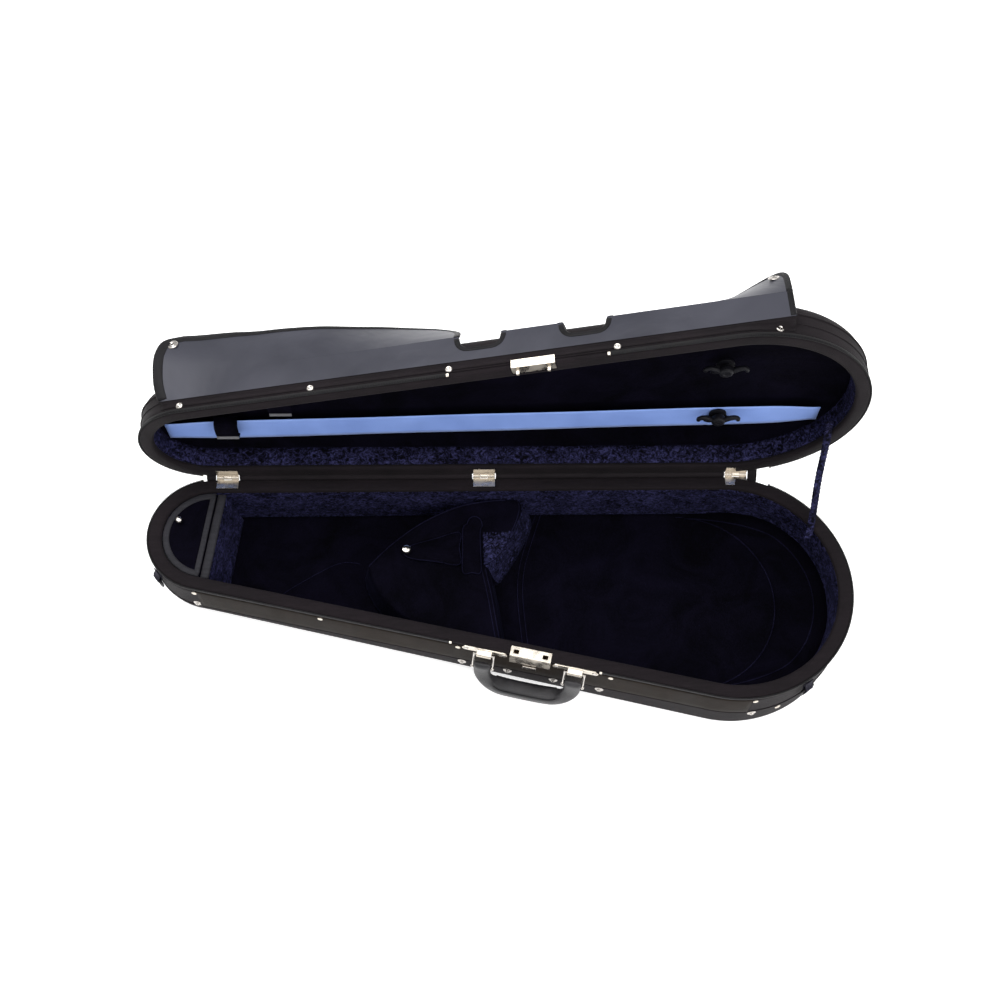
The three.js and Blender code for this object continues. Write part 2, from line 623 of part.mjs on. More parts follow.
// a wire loop: its upper bar turns in the bracket, its lower bar in the end of the handle
function bail() {
  const slant = Math.atan2(BAIL_STEP, BAIL_DROP);
  const length = Math.hypot(BAIL_STEP, BAIL_DROP);
  const bars = [0, -length].map((z) => rod(-BAIL_HALF, BAIL_HALF, 0, z, WIRE, 8));
  const legs = [-1, 1].map((side) => new THREE.CylinderGeometry(WIRE, WIRE, length + WIRE, 8)
    .rotateX(Math.PI / 2).translate(side * (BAIL_HALF - WIRE), 0, -length / 2));
  return join(...bars, ...legs).rotateX(-slant);
}

for (const [i, s] of BRACKETS_AT.entries()) {
  add(baseFront, `handle_bracket_${BRACKET_NAMES[i]}`, bracket(), 'nickel', [s, 0, BRACKET_HEIGHT]);
  add(baseFront, `handle_bail_${BRACKET_NAMES[i]}`, bail(), 'nickel', [s, -BAIL_OUT, BRACKET_HEIGHT]);
}

// The handle hangs from its two ends; its grip is a thick rounded bar below and a little in front of them.
function handle() {
  const [leftEnd, rightEnd] = BRACKETS_AT.map((s) => s - LOCK_AT);
  const drop = -34;
  const forward = -5;
  const grip = rod(leftEnd - 9, rightEnd + 9, forward, drop, 9.5, 16);
  const ends = [leftEnd, rightEnd].map((s) => join(
    rod(s - 9, s + 9, 0, 0, 5.5, 12),
    block(s - 9, s + 9, -5.5, 5.5, drop, 0),
  ));
  const bores = [leftEnd, rightEnd].map((s) => rod(s - 12, s + 12, 0, 0, WIRE_BORE));
  return cut(join(grip, ...ends), ...bores);
}
add(baseFront, 'handle', handle(), 'handle', [LOCK_AT, -HANDLE_OUT, HANDLE_HEIGHT]);

// ---------- zip halves ----------
const ZIP_WIDTH = 5;
const ZIP_OUT = 1.6;
const wideZip = [168, HALF_SPAN + WIDE_RADIUS * (WIDE_SWEEP - rad(24))];
const narrowZip = [-HALF_SPAN - NARROW_RADIUS * (NARROW_SWEEP - rad(10)), 2];
for (const [name, span] of [['wide', wideZip], ['narrow', narrowZip]]) {
  const high = outlineStrip(...span, GAP, ZIP_OUT, ZIP_WIDTH, 1);
  const low = outlineStrip(...span, GAP, ZIP_OUT, ZIP_WIDTH, BASE_HEIGHT - 1 - ZIP_WIDTH);
  add(lidPieces, `lid_zip_${name}`, high, 'zip');
  add(violinCase, `base_zip_${name}`, low, 'zip');
}

// ---------- flap ----------
// The flap folds on the lid's wall. Its free end by the scroll stands up from the same folding line. Past the first
// notch, the tongue and the tip beside it bend back once more, over the lid's top.
const FLAP_THICK = 2;
const NOTCHES = [[14, 58], [122, 168]];
const NOTCH_FROM = 19;
const BEND_LINE = 34;         // the second folding line, across the flap's width
const BEND_GAP = 1.2;         // each plate stops this far from that line
const FLAP_BEND = 60;         // degrees that the tongue and the tip bend back from the rest of the flap
const TIP_TO = 272;           // past here the flap is stiff again, up to its corner
function flapPlate(from, to) {
  const corner = 20;
  const shape = new THREE.Shape();
  shape.moveTo(from, 0);
  shape.lineTo(from, -FLAP_WIDTH + (from === FLAP_FROM ? corner : 0));
  if (from === FLAP_FROM) shape.quadraticCurveTo(from, -FLAP_WIDTH, from + corner, -FLAP_WIDTH);
  shape.lineTo(to - (to === FLAP_TO ? corner : 0), -FLAP_WIDTH);
  if (to === FLAP_TO) shape.quadraticCurveTo(to, -FLAP_WIDTH, to, -FLAP_WIDTH + corner);
  shape.lineTo(to, 0);
  return extrude(shape, FLAP_THICK, -FLAP_THICK / 2, 5);
}

// A block that takes the flap away between two places along it and two distances from its folding line.
function flapCut(from, to, near, far) {
  return block(from, to, -far, -near, -5, 5);
}

const flap = new THREE.Group();
flap.position.set(0, -FLAP_OUT, FLAP_ABOVE_RIM);
flap.rotation.x = -rad(FLAP_LEAN);
lidFront.add(flap);
const flapEnd = new THREE.Group();
flapEnd.rotation.x = rad(FLAP_LEAN - FLAP_END_LEAN);
flap.add(flapEnd);
const flapTip = new THREE.Group();
flapTip.position.set(0, -BEND_LINE, 0);
flapTip.rotation.x = -rad(FLAP_BEND);
flap.add(flapTip);

const BEYOND = FLAP_WIDTH + 5;
const notchCuts = NOTCHES.map(([from, to]) => flapCut(from, to, NOTCH_FROM, BEYOND));
const bentPart = flapCut(NOTCHES[0][0], TIP_TO + 2 * BEND_GAP, BEND_LINE - BEND_GAP, BEYOND);
add(flap, 'flap', cut(flapPlate(FLAP_SPLIT, FLAP_TO), ...notchCuts, bentPart), 'pvc');
add(flapEnd, 'flap_end', flapPlate(FLAP_FROM, FLAP_SPLIT - 2), 'pvc');

// a plate from the second folding line to the free edge, in the bent group's frame
function bentPlate(from, to) {
  const rootSide = flapCut(from - 5, to + 5, -5, BEND_LINE + BEND_GAP);
  return cut(flapPlate(from, to), rootSide).translate(0, BEND_LINE, 0);
}
add(flapTip, 'flap_tongue', bentPlate(NOTCHES[0][1], NOTCHES[1][0]), 'pvc');
add(flapTip, 'flap_tip', bentPlate(NOTCHES[1][1], TIP_TO), 'pvc');

// a press-stud socket: a shallow ringed disc
function pressStud(radius, height) {
  const profile = [[0, 0], [radius, 0], [radius, height * 0.5], [radius * 0.6, height], [0, height]];
  return new THREE.LatheGeometry(profile.map(([x, y]) => new THREE.Vector2(x, y)), 14).rotateX(Math.PI / 2);
}
const socket = () => pressStud(5.5, 2.4).rotateX(Math.PI).translate(0, 0, -FLAP_THICK / 2 - GAP);
add(flap, 'flap_socket_wide', socket(), 'nickel', [340, -70, 0]);
add(flapEnd, 'flap_socket_narrow', socket(), 'nickel', [-291, -58, 0]);

// the base's studs that those sockets press on to
function baseStud(name, distance, z) {
  const [x, y] = outlineAt(distance, GAP);
  const [x1, y1] = outlineAt(distance, GAP + 10);
  const stud = add(violinCase, name, pressStud(4.5, 2.2), 'nickel', [x, y, z]);
  stud.rotation.set(Math.PI / 2, 0, Math.atan2(x1 - x, y - y1), 'ZXY');
}
baseStud('base_stud_wide', 340, 33);
baseStud('base_stud_narrow', -291, 45);

// ---------- stay strap ----------
// It runs from inside the open lid's wide end down to the inside of the base's rim.
const STAY_WIDTH = 9;
const stayTop = new THREE.Vector3(...roundEnd(WIDE_CENTRE, WIDE_RADIUS - RIM_WIDTH - 8, rad(19)), 9);
const stayFoot = new THREE.Vector3(...roundEnd(WIDE_CENTRE, WIDE_RADIUS - RIM_WIDTH - 9, rad(31)), BASE_HEIGHT - 8);
function openLidPoint(point) {
  return point.clone().sub(new THREE.Vector3(0, HINGE_Y, 0))
    .applyAxisAngle(new THREE.Vector3(1, 0, 0), -rad(OPEN_ANGLE))
    .add(new THREE.Vector3(0, HINGE_Y, BASE_HEIGHT));
}
const stayTopOpen = openLidPoint(stayTop);
const stayRun = stayTopOpen.clone().sub(stayFoot);
const stayStrap = block(-0.8, 0.8, -STAY_WIDTH / 2, STAY_WIDTH / 2, 0, stayRun.length());
const stay = add(violinCase, 'stay_strap', stayStrap, 'webbing', stayFoot.toArray());
stay.rotation.x = -Math.atan2(stayRun.y, stayRun.z);

// ---------- shoulder-strap rings ----------
const RING_WIRE = 1.3;
function dRing() {
  const corners = [[-7, -2, 0], [-7, -13, 0], [-3, -19, 0], [3, -19, 0], [7, -13, 0], [7, -2, 0]];
  const legs = [[0, 1], [1, 2], [2, 3], [3, 4], [4, 5], [5, 0]].map(([a, b]) => {
    const from = new THREE.Vector3(...corners[a]);
    const to = new THREE.Vector3(...corners[b]);
    const leg = new THREE.CylinderGeometry(RING_WIRE, RING_WIRE, from.distanceTo(to) + 1.4, 6);
    leg.applyQuaternion(new THREE.Quaternion()
      .setFromUnitVectors(new THREE.Vector3(0, 1, 0), to.clone().sub(from).normalize()));
    return leg.translate(...from.add(to).multiplyScalar(0.5).toArray());
  });
  return join(...legs).translate(0, 2, 0).rotateX(Math.PI / 2);
}

function strapRing(name, distance) {
  const group = new THREE.Group();
  const [x, y] = outlineAt(distance);
  const [x1, y1] = outlineAt(distance, 10);
  group.position.set(x, y, 66);
  group.rotation.z = Math.atan2(x1 - x, y - y1);
  violinCase.add(group);
  const tab = cut(block(-5, 5, -7, -GAP, -6, 14), rod(-6, 6, -4, -2, RING_WIRE + 0.5));
  add(group, `strap_tab_${name}`, tab, 'webbing');
  add(group, `strap_ring_${name}`, dRing(), 'plastic', [0, -4, -2]);
}
strapRing('wide', HALF_SPAN + WIDE_RADIUS * rad(46));
strapRing('narrow', -HALF_SPAN - NARROW_RADIUS * rad(40));

export default violinCase;
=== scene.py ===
import json
import math

import bmesh
import bpy
import numpy as np
from mathutils import Matrix, Vector, noise
from mathutils.geometry import delaunay_2d_cdt


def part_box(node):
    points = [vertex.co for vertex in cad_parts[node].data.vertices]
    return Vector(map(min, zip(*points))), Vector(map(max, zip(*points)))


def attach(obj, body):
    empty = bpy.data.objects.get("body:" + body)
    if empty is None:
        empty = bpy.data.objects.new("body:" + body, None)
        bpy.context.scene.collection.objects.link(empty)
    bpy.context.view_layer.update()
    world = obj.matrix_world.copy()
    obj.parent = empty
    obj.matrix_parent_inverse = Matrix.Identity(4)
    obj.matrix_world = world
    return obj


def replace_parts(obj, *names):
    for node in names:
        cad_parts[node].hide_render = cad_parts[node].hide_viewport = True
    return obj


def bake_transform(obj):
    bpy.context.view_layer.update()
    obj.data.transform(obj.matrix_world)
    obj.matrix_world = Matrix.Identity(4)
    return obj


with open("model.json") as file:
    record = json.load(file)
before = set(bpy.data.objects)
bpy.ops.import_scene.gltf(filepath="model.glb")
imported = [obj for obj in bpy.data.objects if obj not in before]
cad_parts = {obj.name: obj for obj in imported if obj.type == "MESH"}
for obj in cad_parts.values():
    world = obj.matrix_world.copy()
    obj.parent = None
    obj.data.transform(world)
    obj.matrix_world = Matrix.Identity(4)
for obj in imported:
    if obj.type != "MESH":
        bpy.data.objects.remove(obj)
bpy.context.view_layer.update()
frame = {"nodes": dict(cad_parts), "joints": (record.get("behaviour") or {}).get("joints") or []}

# ---------- camera ----------
EYE = (-0.0043, -0.6070, 1.3942)
LENS = 46.33
yaw, pitch, roll = (math.radians(a) for a in (3.39, 62.49, 2.59))
forward = Vector((math.sin(yaw) * math.cos(pitch), math.cos(yaw) * math.cos(pitch), -math.sin(pitch)))
level = Vector((math.cos(yaw), -math.sin(yaw), 0))
above = level.cross(forward)
right = level * math.cos(roll) + above * math.sin(roll)
up = above * math.cos(roll) - level * math.sin(roll)
camera = bpy.data.objects.new("camera", bpy.data.cameras.new("camera"))
camera.data.lens = LENS
camera.data.clip_end = 50
camera.matrix_world = Matrix((*zip(right, up, -forward, EYE), (0, 0, 0, 1)))
bpy.context.scene.collection.objects.link(camera)
bpy.context.scene.camera = camera

# ---------- the case's outline, measured from the CAD (millimetres from here on) ----------
lo, hi = (v * 1000 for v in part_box("base_cover"))
WIDE_R = round((hi.y - lo.y) / 2)
SPAN = round(hi.x) - WIDE_R                # x of the wide end's centre; the narrow one is at -SPAN
NARROW_R = -SPAN - round(lo.x)
BACK_Y = round(hi.y)
WIDE = np.array([SPAN, BACK_Y - WIDE_R])
NARROW = np.array([-SPAN, BACK_Y - NARROW_R])
TAPER = math.asin((WIDE_R - NARROW_R) / np.linalg.norm(WIDE - NARROW))
TURN = -2 * TAPER
STRAIGHT = 2 * SPAN
WIDE_ARC = WIDE_R * (math.pi + 2 * TAPER)
NARROW_ARC = NARROW_R * (math.pi - 2 * TAPER)
TOTAL = 2 * STRAIGHT + WIDE_ARC + NARROW_ARC
WIDE_END = SPAN + WIDE_ARC                 # where the wide arc meets the back wall
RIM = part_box("base_rim")[1].z * 1000
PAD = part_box("floor_pad")[1].z * 1000
lid_joint = next(j for j in frame["joints"] if j["name"] == "lid_hinge")
HINGE_Y, HINGE_Z = (v * 1000 for v in lid_joint["pos_m"][1:])
OPEN = math.radians(lid_joint["range_deg"][1])


def outline(d):
    """Points and outward normals at distances d from the middle of the front wall, towards the wide end."""
    d = (np.atleast_1d(np.asarray(d, float)) + STRAIGHT / 2) % TOTAL
    front_n = np.array([math.sin(TURN), -math.cos(TURN)])
    start = NARROW + front_n * NARROW_R
    along = np.array([math.cos(TURN), math.sin(TURN)])
    P, N = np.zeros((len(d), 2)), np.zeros((len(d), 2))
    a = d < STRAIGHT
    P[a], N[a] = start + along * d[a, None], front_n
    e = d - STRAIGHT
    a = (e >= 0) & (e < WIDE_ARC)
    t = -math.pi / 2 + TURN + e[a] / WIDE_R
    N[a] = np.column_stack([np.cos(t), np.sin(t)])
    P[a] = WIDE + N[a] * WIDE_R
    e = e - WIDE_ARC
    a = (e >= 0) & (e < STRAIGHT)
    P[a] = np.column_stack([SPAN - e[a], np.full(a.sum(), float(BACK_Y))])
    N[a] = (0, 1)
    e = e - STRAIGHT
    a = e >= 0
    t = math.pi / 2 + e[a] / NARROW_R
    N[a] = np.column_stack([np.cos(t), np.sin(t)])
    P[a] = NARROW + N[a] * NARROW_R
    return P, N


def wall(d, out, z):
    """Points `out` in front of the outline at distances d and height z."""
    P, N = outline(d)
    return np.column_stack([P + N * np.broadcast_to(out, len(P))[:, None], np.broadcast_to(z, len(P))])


def around(step=6.0, extra=()):
    """Distances once round the outline, from the middle of the back wall."""
    begin = WIDE_END + STRAIGHT / 2
    ds = list(np.linspace(begin, begin + TOTAL, int(TOTAL / step), endpoint=False))
    for x in extra:
        ds.append(begin + (x - begin) % TOTAL)
    return np.array(sorted(ds))


def lid_open(V):
    """From the closed lid's frame, with z above the parting plane, to the open lid at rest."""
    V = np.asarray(V, float)
    y, z = V[:, 1] - HINGE_Y, V[:, 2]
    c, s = math.cos(OPEN), math.sin(OPEN)
    return np.column_stack([V[:, 0], HINGE_Y + y * c + z * s, HINGE_Z - y * s + z * c])


def ease(x):
    """A smooth step from 0 to 1."""
    x = np.clip(x, 0, 1)
    return x * x * (3 - 2 * x)


def rough(V, size, seed=0, octaves=3):
    """Fractal noise, about -1 to 1, at each point; size is in millimetres."""
    shift = Vector((seed * 17.3, seed * 5.1, seed * 9.7))
    return np.array([noise.fractal(Vector(v) / size + shift, 1.0, 2.0, octaves)
                     for v in np.asarray(V).reshape(-1, 3)])


def unit(v):
    """Vectors of length 1 in the same directions."""
    return v / np.linalg.norm(v, axis=-1, keepdims=True)


def run_along(P):
    """Distance along a path at each of its points."""
    return np.concatenate([[0], np.cumsum(np.linalg.norm(np.diff(P, axis=0), axis=1))])


def nearest(flat, points):
    """Distance from each flat point to the nearest of some points."""
    return np.sqrt(((flat[:, None] - points[None]) ** 2).sum(-1)).min(1)


def raised(flat, z):
    """Flat points at height z, a number or one for each."""
    return np.column_stack([flat, np.broadcast_to(z, len(flat))])


# ---------- materials ----------
class Paint:
    """A material's node tree, built node by node; sockets are named with _ for each space."""

    def __init__(self, name, colour, roughness, **sockets):
        self.material = bpy.data.materials.new(name)
        self.material.use_nodes = True
        self.tree = self.material.node_tree
        self.shader = self.tree.nodes["Principled BSDF"]
        self.put(self.shader, Base_Color=(*colour, 1), Roughness=roughness, **sockets)

    def put(self, node, **sockets):
        for key, value in sockets.items():
            socket = node.inputs[key.replace("_", " ")]
            if isinstance(value, bpy.types.NodeSocket):
                self.tree.links.new(value, socket)
            else:
                socket.default_value = value

    def add(self, kind, out=0, settings=None, **sockets):
        node = self.tree.nodes.new("ShaderNode" + kind)
        for key, value in (settings or {}).items():
            setattr(node, key, value)
        self.put(node, **sockets)
        return node.outputs[out]

    def coords(self, scale=(1, 1, 1), uv=False):
        source = self.add("TexCoord", "UV" if uv else "Object")
        return self.add("Mapping", 0, None, Vector=source, Scale=scale)

    def noise(self, where, scale, detail=3.0, distortion=0.0, rough=0.5):
        return self.add("TexNoise", 0, None, Vector=where, Scale=scale, Detail=detail,
                        Distortion=distortion, Roughness=rough)

    def ramp(self, fac, stops):
        node = self.tree.nodes.new("ShaderNodeValToRGB")
        ramp = node.color_ramp
        while len(ramp.elements) < len(stops):
            ramp.elements.new(0.5)
        for element, (at, colour) in zip(ramp.elements, stops):
            element.position = at
            element.color = (*colour, 1)
        self.tree.links.new(fac, node.inputs[0])
        return node.outputs[0]

    def math(self, op, a, b=0.0):
        node = self.tree.nodes.new("ShaderNodeMath")
        node.operation = op
        for i, v in enumerate((a, b)):
            if isinstance(v, bpy.types.NodeSocket):
                self.tree.links.new(v, node.inputs[i])
            else:
                node.inputs[i].default_value = v
        return node.outputs[0]

    def range(self, fac, a, b, low=0.0, high=1.0):
        return self.add("MapRange", 0, None, Value=fac, From_Min=low, From_Max=high, To_Min=a, To_Max=b)

    def bump(self, height, strength, distance=0.001):
        previous = self.shader.inputs["Normal"].links
        extra = {"Normal": previous[0].from_socket} if previous else {}
        self.put(self.shader, Normal=self.add("Bump", 0, None, Height=height, Strength=strength,
                                              Distance=distance, **extra))
        return self


def grey(v):
    return (v, v, v)


def weave(name, dark, light, roughness, pitch=1.1, sheen=0.02, tint=(1, 1, 1), depth=0.35, shine=0.2):
    """Plain-woven cloth: over-and-under threads, slubs, and worn lighter patches."""
    p = Paint(name, dark, roughness, Sheen_Weight=sheen, Sheen_Roughness=0.5, Sheen_Tint=(*tint, 1),
              Specular_IOR_Level=shine)
    uv = p.coords(uv=True)
    scale = 0.314 / pitch
    bands = [p.add("TexWave", 1, {"bands_direction": axis}, Vector=uv, Scale=scale, Distortion=0.6,
                   Detail=1.0, Detail_Scale=0.5) for axis in "XY"]
    threads = p.math("MULTIPLY", *bands)
    slub = p.noise(p.coords((40, 400, 40)), 1.0, 4.0)
    patches = p.noise(p.coords(), 14.0, 4.0, 0.4)
    mix = p.math("ADD", p.math("MULTIPLY", threads, 0.45), p.math("MULTIPLY", slub, 0.35))
    mix = p.math("ADD", mix, p.math("MULTIPLY", p.range(patches, 0, 0.5, 0.4, 0.75), 0.4))
    p.put(p.shader, Base_Color=p.ramp(mix, [(0.15, dark), (0.85, light)]),
          Roughness=p.range(patches, roughness - 0.08, roughness + 0.06, 0.3, 0.7))
    p.bump(threads, depth, 0.0004)
    p.bump(patches, 0.12, 0.002)
    return p.material


def velvet(name, dark, light, tint):
    """Short pile, brushed this way and that."""
    p = Paint(name, dark, 0.85, Sheen_Weight=0.02, Sheen_Roughness=0.35, Sheen_Tint=(*tint, 1),
              Specular_IOR_Level=0.03)
    where = p.coords()
    brushed = p.noise(where, 16.0, 5.0, 1.2, 0.6)
    pile = p.noise(where, 900.0, 3.0)
    mix = p.math("ADD", p.math("MULTIPLY", brushed, 0.65), p.math("MULTIPLY", pile, 0.35))
    p.put(p.shader, Base_Color=p.ramp(mix, [(0.38, dark), (0.68, light)]))
    p.bump(pile, 0.5, 0.0005)
    p.bump(brushed, 0.25, 0.004)
    return p.material


def crushed(name, dark, light, tint):
    """Crushed plush: the pile lies in short, streaky clumps; the light end of the colour ramp is painted sheen
    highlight, scattered by noise over the pile's own dark colour.
    """
    p = Paint(name, dark, 0.7, Sheen_Weight=0.03, Sheen_Roughness=0.3, Sheen_Tint=(*tint, 1),
              Specular_IOR_Level=0.05)
    where = p.coords((1, 1, 1.5))
    clumps = p.noise(where, 170.0, 3.0, 1.6, 0.62)
    pile = p.noise(where, 620.0, 3.0, 0.6)
    broad = p.noise(where, 26.0, 2.0)
    mix = p.math("ADD", p.math("MULTIPLY", clumps, 0.62), p.math("MULTIPLY", pile, 0.23))
    mix = p.math("ADD", mix, p.math("MULTIPLY", broad, 0.15))
    middle = tuple((a + b) / 3 for a, b in zip(dark, light))
    # the light end of this ramp is painted sheen highlight, not a colour of the pile
    p.put(p.shader, Base_Color=p.ramp(mix, [(0.44, dark), (0.52, middle), (0.62, light)]))
    p.bump(clumps, 0.7, 0.003)
    p.bump(pile, 0.5, 0.0008)
    return p.material


def metal(name, colour, roughness=0.24, brushed=True):
    """Plated metal, smudged, and finely brushed unless it is bright."""
    p = Paint(name, colour, roughness, Metallic=1.0)
    smudge = p.noise(p.coords(), 90.0, 3.0)
    p.put(p.shader, Roughness=p.range(smudge, roughness - 0.07, roughness + 0.14, 0.3, 0.7),
          Base_Color=p.ramp(smudge, [(0.3, tuple(c * 0.82 for c in colour)), (0.7, colour)]))
    if brushed:
        p.bump(p.noise(p.coords((30, 30, 900)), 1.0, 3.0), 0.06, 0.0003)
    p.bump(smudge, 0.05, 0.0006)
    return p.material


def grain(name, dark, light, roughness, scale, strength, shine=0.3):
    """Moulded or coated surface with a leather-like grain, rubbed lighter in places."""
    p = Paint(name, dark, roughness, Coat_Roughness=0.25, Specular_IOR_Level=shine)
    where = p.coords()
    cells = p.add("TexVoronoi", 0, {"feature": "DISTANCE_TO_EDGE"}, Vector=where, Scale=scale)
    rubbed = p.noise(where, 34.0, 4.0, 0.3)
    p.put(p.shader, Base_Color=p.ramp(rubbed, [(0.35, dark), (0.7, light)]),
          Roughness=p.range(rubbed, roughness - 0.06, roughness + 0.1, 0.3, 0.7))
    p.bump(p.range(cells, 0, 1, 0, 0.12), strength, 0.0003)
    p.bump(rubbed, 0.1, 0.003)
    return p.material


COVER = weave("cover_cloth", (0.0046, 0.0035, 0.0044), (0.0240, 0.0185, 0.0220), 0.8, shine=0.14)
RIM_CLOTH = weave("rim_cloth", (0.0040, 0.0028, 0.0038), (0.0180, 0.0130, 0.0160), 0.80, 0.9, shine=0.12)
SATIN = weave("front_satin", (0.0065, 0.0045, 0.0034), (0.0290, 0.0210, 0.0160), 0.55, 0.7, 0.0,
              depth=0.15, shine=0.04)
TAPE = weave("binding_tape", (0.0080, 0.0078, 0.0100), (0.0420, 0.0410, 0.0500), 0.75, 1.3)
VELVET = velvet("velvet", (0.0004, 0.0003, 0.0012), (0.0026, 0.0021, 0.0066), (0.30, 0.30, 0.75))
# plush: dark navy pile, its light violet-blue clumps painted sheen highlights
PLUSH_PAINTED_SHEEN = crushed("plush", (0.0007, 0.0005, 0.0022), (0.0400, 0.0400, 0.1150), (0.40, 0.42, 0.95))
NICKEL = metal("nickel", (0.66, 0.60, 0.52))
CHROME = metal("bright_nickel", (0.52, 0.49, 0.46), 0.14, False)
PLASTIC = grain("black_plastic", (0.0030, 0.0030, 0.0045), (0.0090, 0.0090, 0.0120), 0.36, 700, 0.12, 0.12)
HANDLE = grain("handle_grip", (0.0160, 0.0155, 0.0175), (0.0400, 0.0380, 0.0410), 0.38, 520, 0.4)
BINDING = grain("black_binding", (0.0030, 0.0028, 0.0036), (0.0100, 0.0095, 0.0115), 0.5, 600, 0.3, 0.15)


def pvc_paint():
    """The flap's thin grey plastic-coated cloth."""
    p = Paint("flap_pvc", (0.060, 0.062, 0.080), 0.42, Specular_IOR_Level=0.28)
    where = p.coords()
    cloudy = p.noise(where, 9.0, 4.0, 0.5)
    fine = p.noise(where, 1500.0, 2.0)
    p.put(p.shader, Base_Color=p.ramp(cloudy, [(0.35, (0.026, 0.027, 0.038)), (0.7, (0.048, 0.049, 0.065))]),
          Roughness=p.range(cloudy, 0.36, 0.48, 0.3, 0.7))
    p.bump(fine, 0.12, 0.0003)
    p.bump(cloudy, 0.6, 0.008)
    return p.material


def ribbon_paint():
    """Pale blue satin with a fine rib across it."""
    p = Paint("ribbon_satin", (0.21, 0.33, 0.75), 0.38, Sheen_Weight=0.2, Sheen_Tint=(0.8, 0.88, 1, 1))
    uv = p.coords((1, 1, 1), True)
    cross = p.add("TexWave", 1, {"bands_direction": "X"}, Vector=uv, Scale=0.36, Distortion=1.2, Detail=2.0)
    soft = p.noise(p.coords(), 22.0, 3.0)
    mix = p.math("ADD", p.math("MULTIPLY", cross, 0.3), p.math("MULTIPLY", soft, 0.7))
    p.put(p.shader, Base_Color=p.ramp(mix, [(0.2, (0.150, 0.250, 0.620)), (0.75, (0.260, 0.400, 0.850))]))
    p.bump(cross, 0.15, 0.0003)
    return p.material


PVC = pvc_paint()
RIBBON = ribbon_paint()
WEBBING = weave("webbing", (0.0040, 0.0036, 0.0070), (0.0200, 0.0180, 0.0340), 0.85, 1.6, 0.03,
                (0.5, 0.5, 0.9), 0.8)
ZIP = weave("zip_tape", (0.0060, 0.0060, 0.0065), (0.0280, 0.0270, 0.0280), 0.75, 0.8)


# ---------- mesh helpers ----------
def make(name, V, F, material, body, lid=False, uv=None, smooth=True):
    """A piece from points in millimetres; with lid, they are given in the closed lid's frame."""
    V = np.asarray(V, float).reshape(-1, 3)
    if lid:
        V = lid_open(V)
    mesh = bpy.data.meshes.new(name)
    mesh.from_pydata((V * 0.001).tolist(), [], [list(map(int, f)) for f in F])
    bm = bmesh.new()
    bm.from_mesh(mesh)
    bmesh.ops.recalc_face_normals(bm, faces=bm.faces[:])
    bm.to_mesh(mesh)
    bm.free()
    mesh.polygons.foreach_set("use_smooth", [smooth] * len(mesh.polygons))
    if uv is None:
        uv = V[:, [0, 1]] + V[:, [2, 2]] * (0.3, 1.0)
    uv = np.asarray(uv, float)
    index = np.zeros(len(mesh.loops), int)
    mesh.loops.foreach_get("vertex_index", index)
    mesh.uv_layers.new(name="uv").data.foreach_set("uv", uv[index].ravel())
    mesh.materials.append(material)
    obj = bpy.data.objects.new(name, mesh)
    bpy.context.scene.collection.objects.link(obj)
    if body:
        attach(obj, body)
    return obj


def grid_faces(rows, cols, wrap_rows=False, wrap_cols=False):
    """Four-sided faces between rows of points, each of cols points."""
    F = []
    for i in range(rows if wrap_rows else rows - 1):
        for j in range(cols if wrap_cols else cols - 1):
            a, b = i * cols + j, i * cols + (j + 1) % cols
            c, d = ((i + 1) % rows) * cols + (j + 1) % cols, ((i + 1) % rows) * cols + j
            F.append((a, b, c, d))
    return F


def bar_faces(n, k):
    """Faces round n cross-sections of k points each, with both ends capped."""
    return grid_faces(n, k, False, True) + [tuple(range(k))[::-1], tuple(range((n - 1) * k, n * k))]


def strip_faces(k, n):
    """Faces round k lengthwise rows of n points each, with both ends capped."""
    ends = [tuple(i * n for i in range(k)), tuple(i * n + n - 1 for i in range(k))[::-1]]
    return grid_faces(k, n, True, False) + ends


def bar(name, V, material, body, lid=False, uv=None):
    """A closed piece from its cross-sections: V[i, j] is point j of section i."""
    return make(name, V, bar_faces(*V.shape[:2]), material, body, lid, uv)


def grid_uv(u, v):
    """Texture coordinates over a grid, from arrays that broadcast to it."""
    return np.stack(np.broadcast_arrays(u, v), -1).reshape(-1, 2)


def loft(name, ds, profile, material, body, lid=False, closed=True, shift=None):
    """Sweeps (inset, z) pairs round the outline; each value is a number or an array over ds."""
    P, N = outline(ds)
    V = np.stack([raised(P - N * np.broadcast_to(inset, len(P))[:, None], z) for inset, z in profile])
    if shift is not None:
        V = shift(V, N)
    uv = grid_uv(ds, run_along(V[:, 0])[:, None])
    return make(name, V, grid_faces(len(profile), len(ds), closed, True), material, body, lid, uv)


def sweep(name, C, A, B, profile, material, body, lid=False, closed=False, scale=1.0):
    """Sweeps a closed cross-section [(a, b), ...] along points C, with its axes along A and B."""
    C = np.asarray(C, float)
    A, B = (np.broadcast_to(x, C.shape)[:, None] for x in (A, B))
    scale = np.broadcast_to(scale, len(C))[:, None, None]
    profile = np.asarray(profile, float)
    V = C[:, None] + A * (profile[None, :, 0:1] * scale) + B * (profile[None, :, 1:2] * scale)
    uv = grid_uv(run_along(C)[:, None], run_along(profile))
    F = grid_faces(*V.shape[:2], True, True) if closed else bar_faces(*V.shape[:2])
    return make(name, V, F, material, body, lid, uv)


def oval(a, b, n):
    """n points round an ellipse."""
    return [(a * math.cos(2 * math.pi * i / n), b * math.sin(2 * math.pi * i / n)) for i in range(n)]


def frames(C, hint):
    """Side and up directions along a path."""
    C = np.asarray(C, float)
    T = unit(np.gradient(C, axis=0))
    A = unit(np.cross(np.broadcast_to(hint, C.shape), T))
    return A, np.cross(T, A)


def tube(name, C, radius, material, body, lid=False, hint=(0, 0, 1), closed=False):
    """A round cord along points C."""
    A, B = frames(C, hint)
    return sweep(name, C, A, B, oval(radius, radius, 10), material, body, lid, closed)


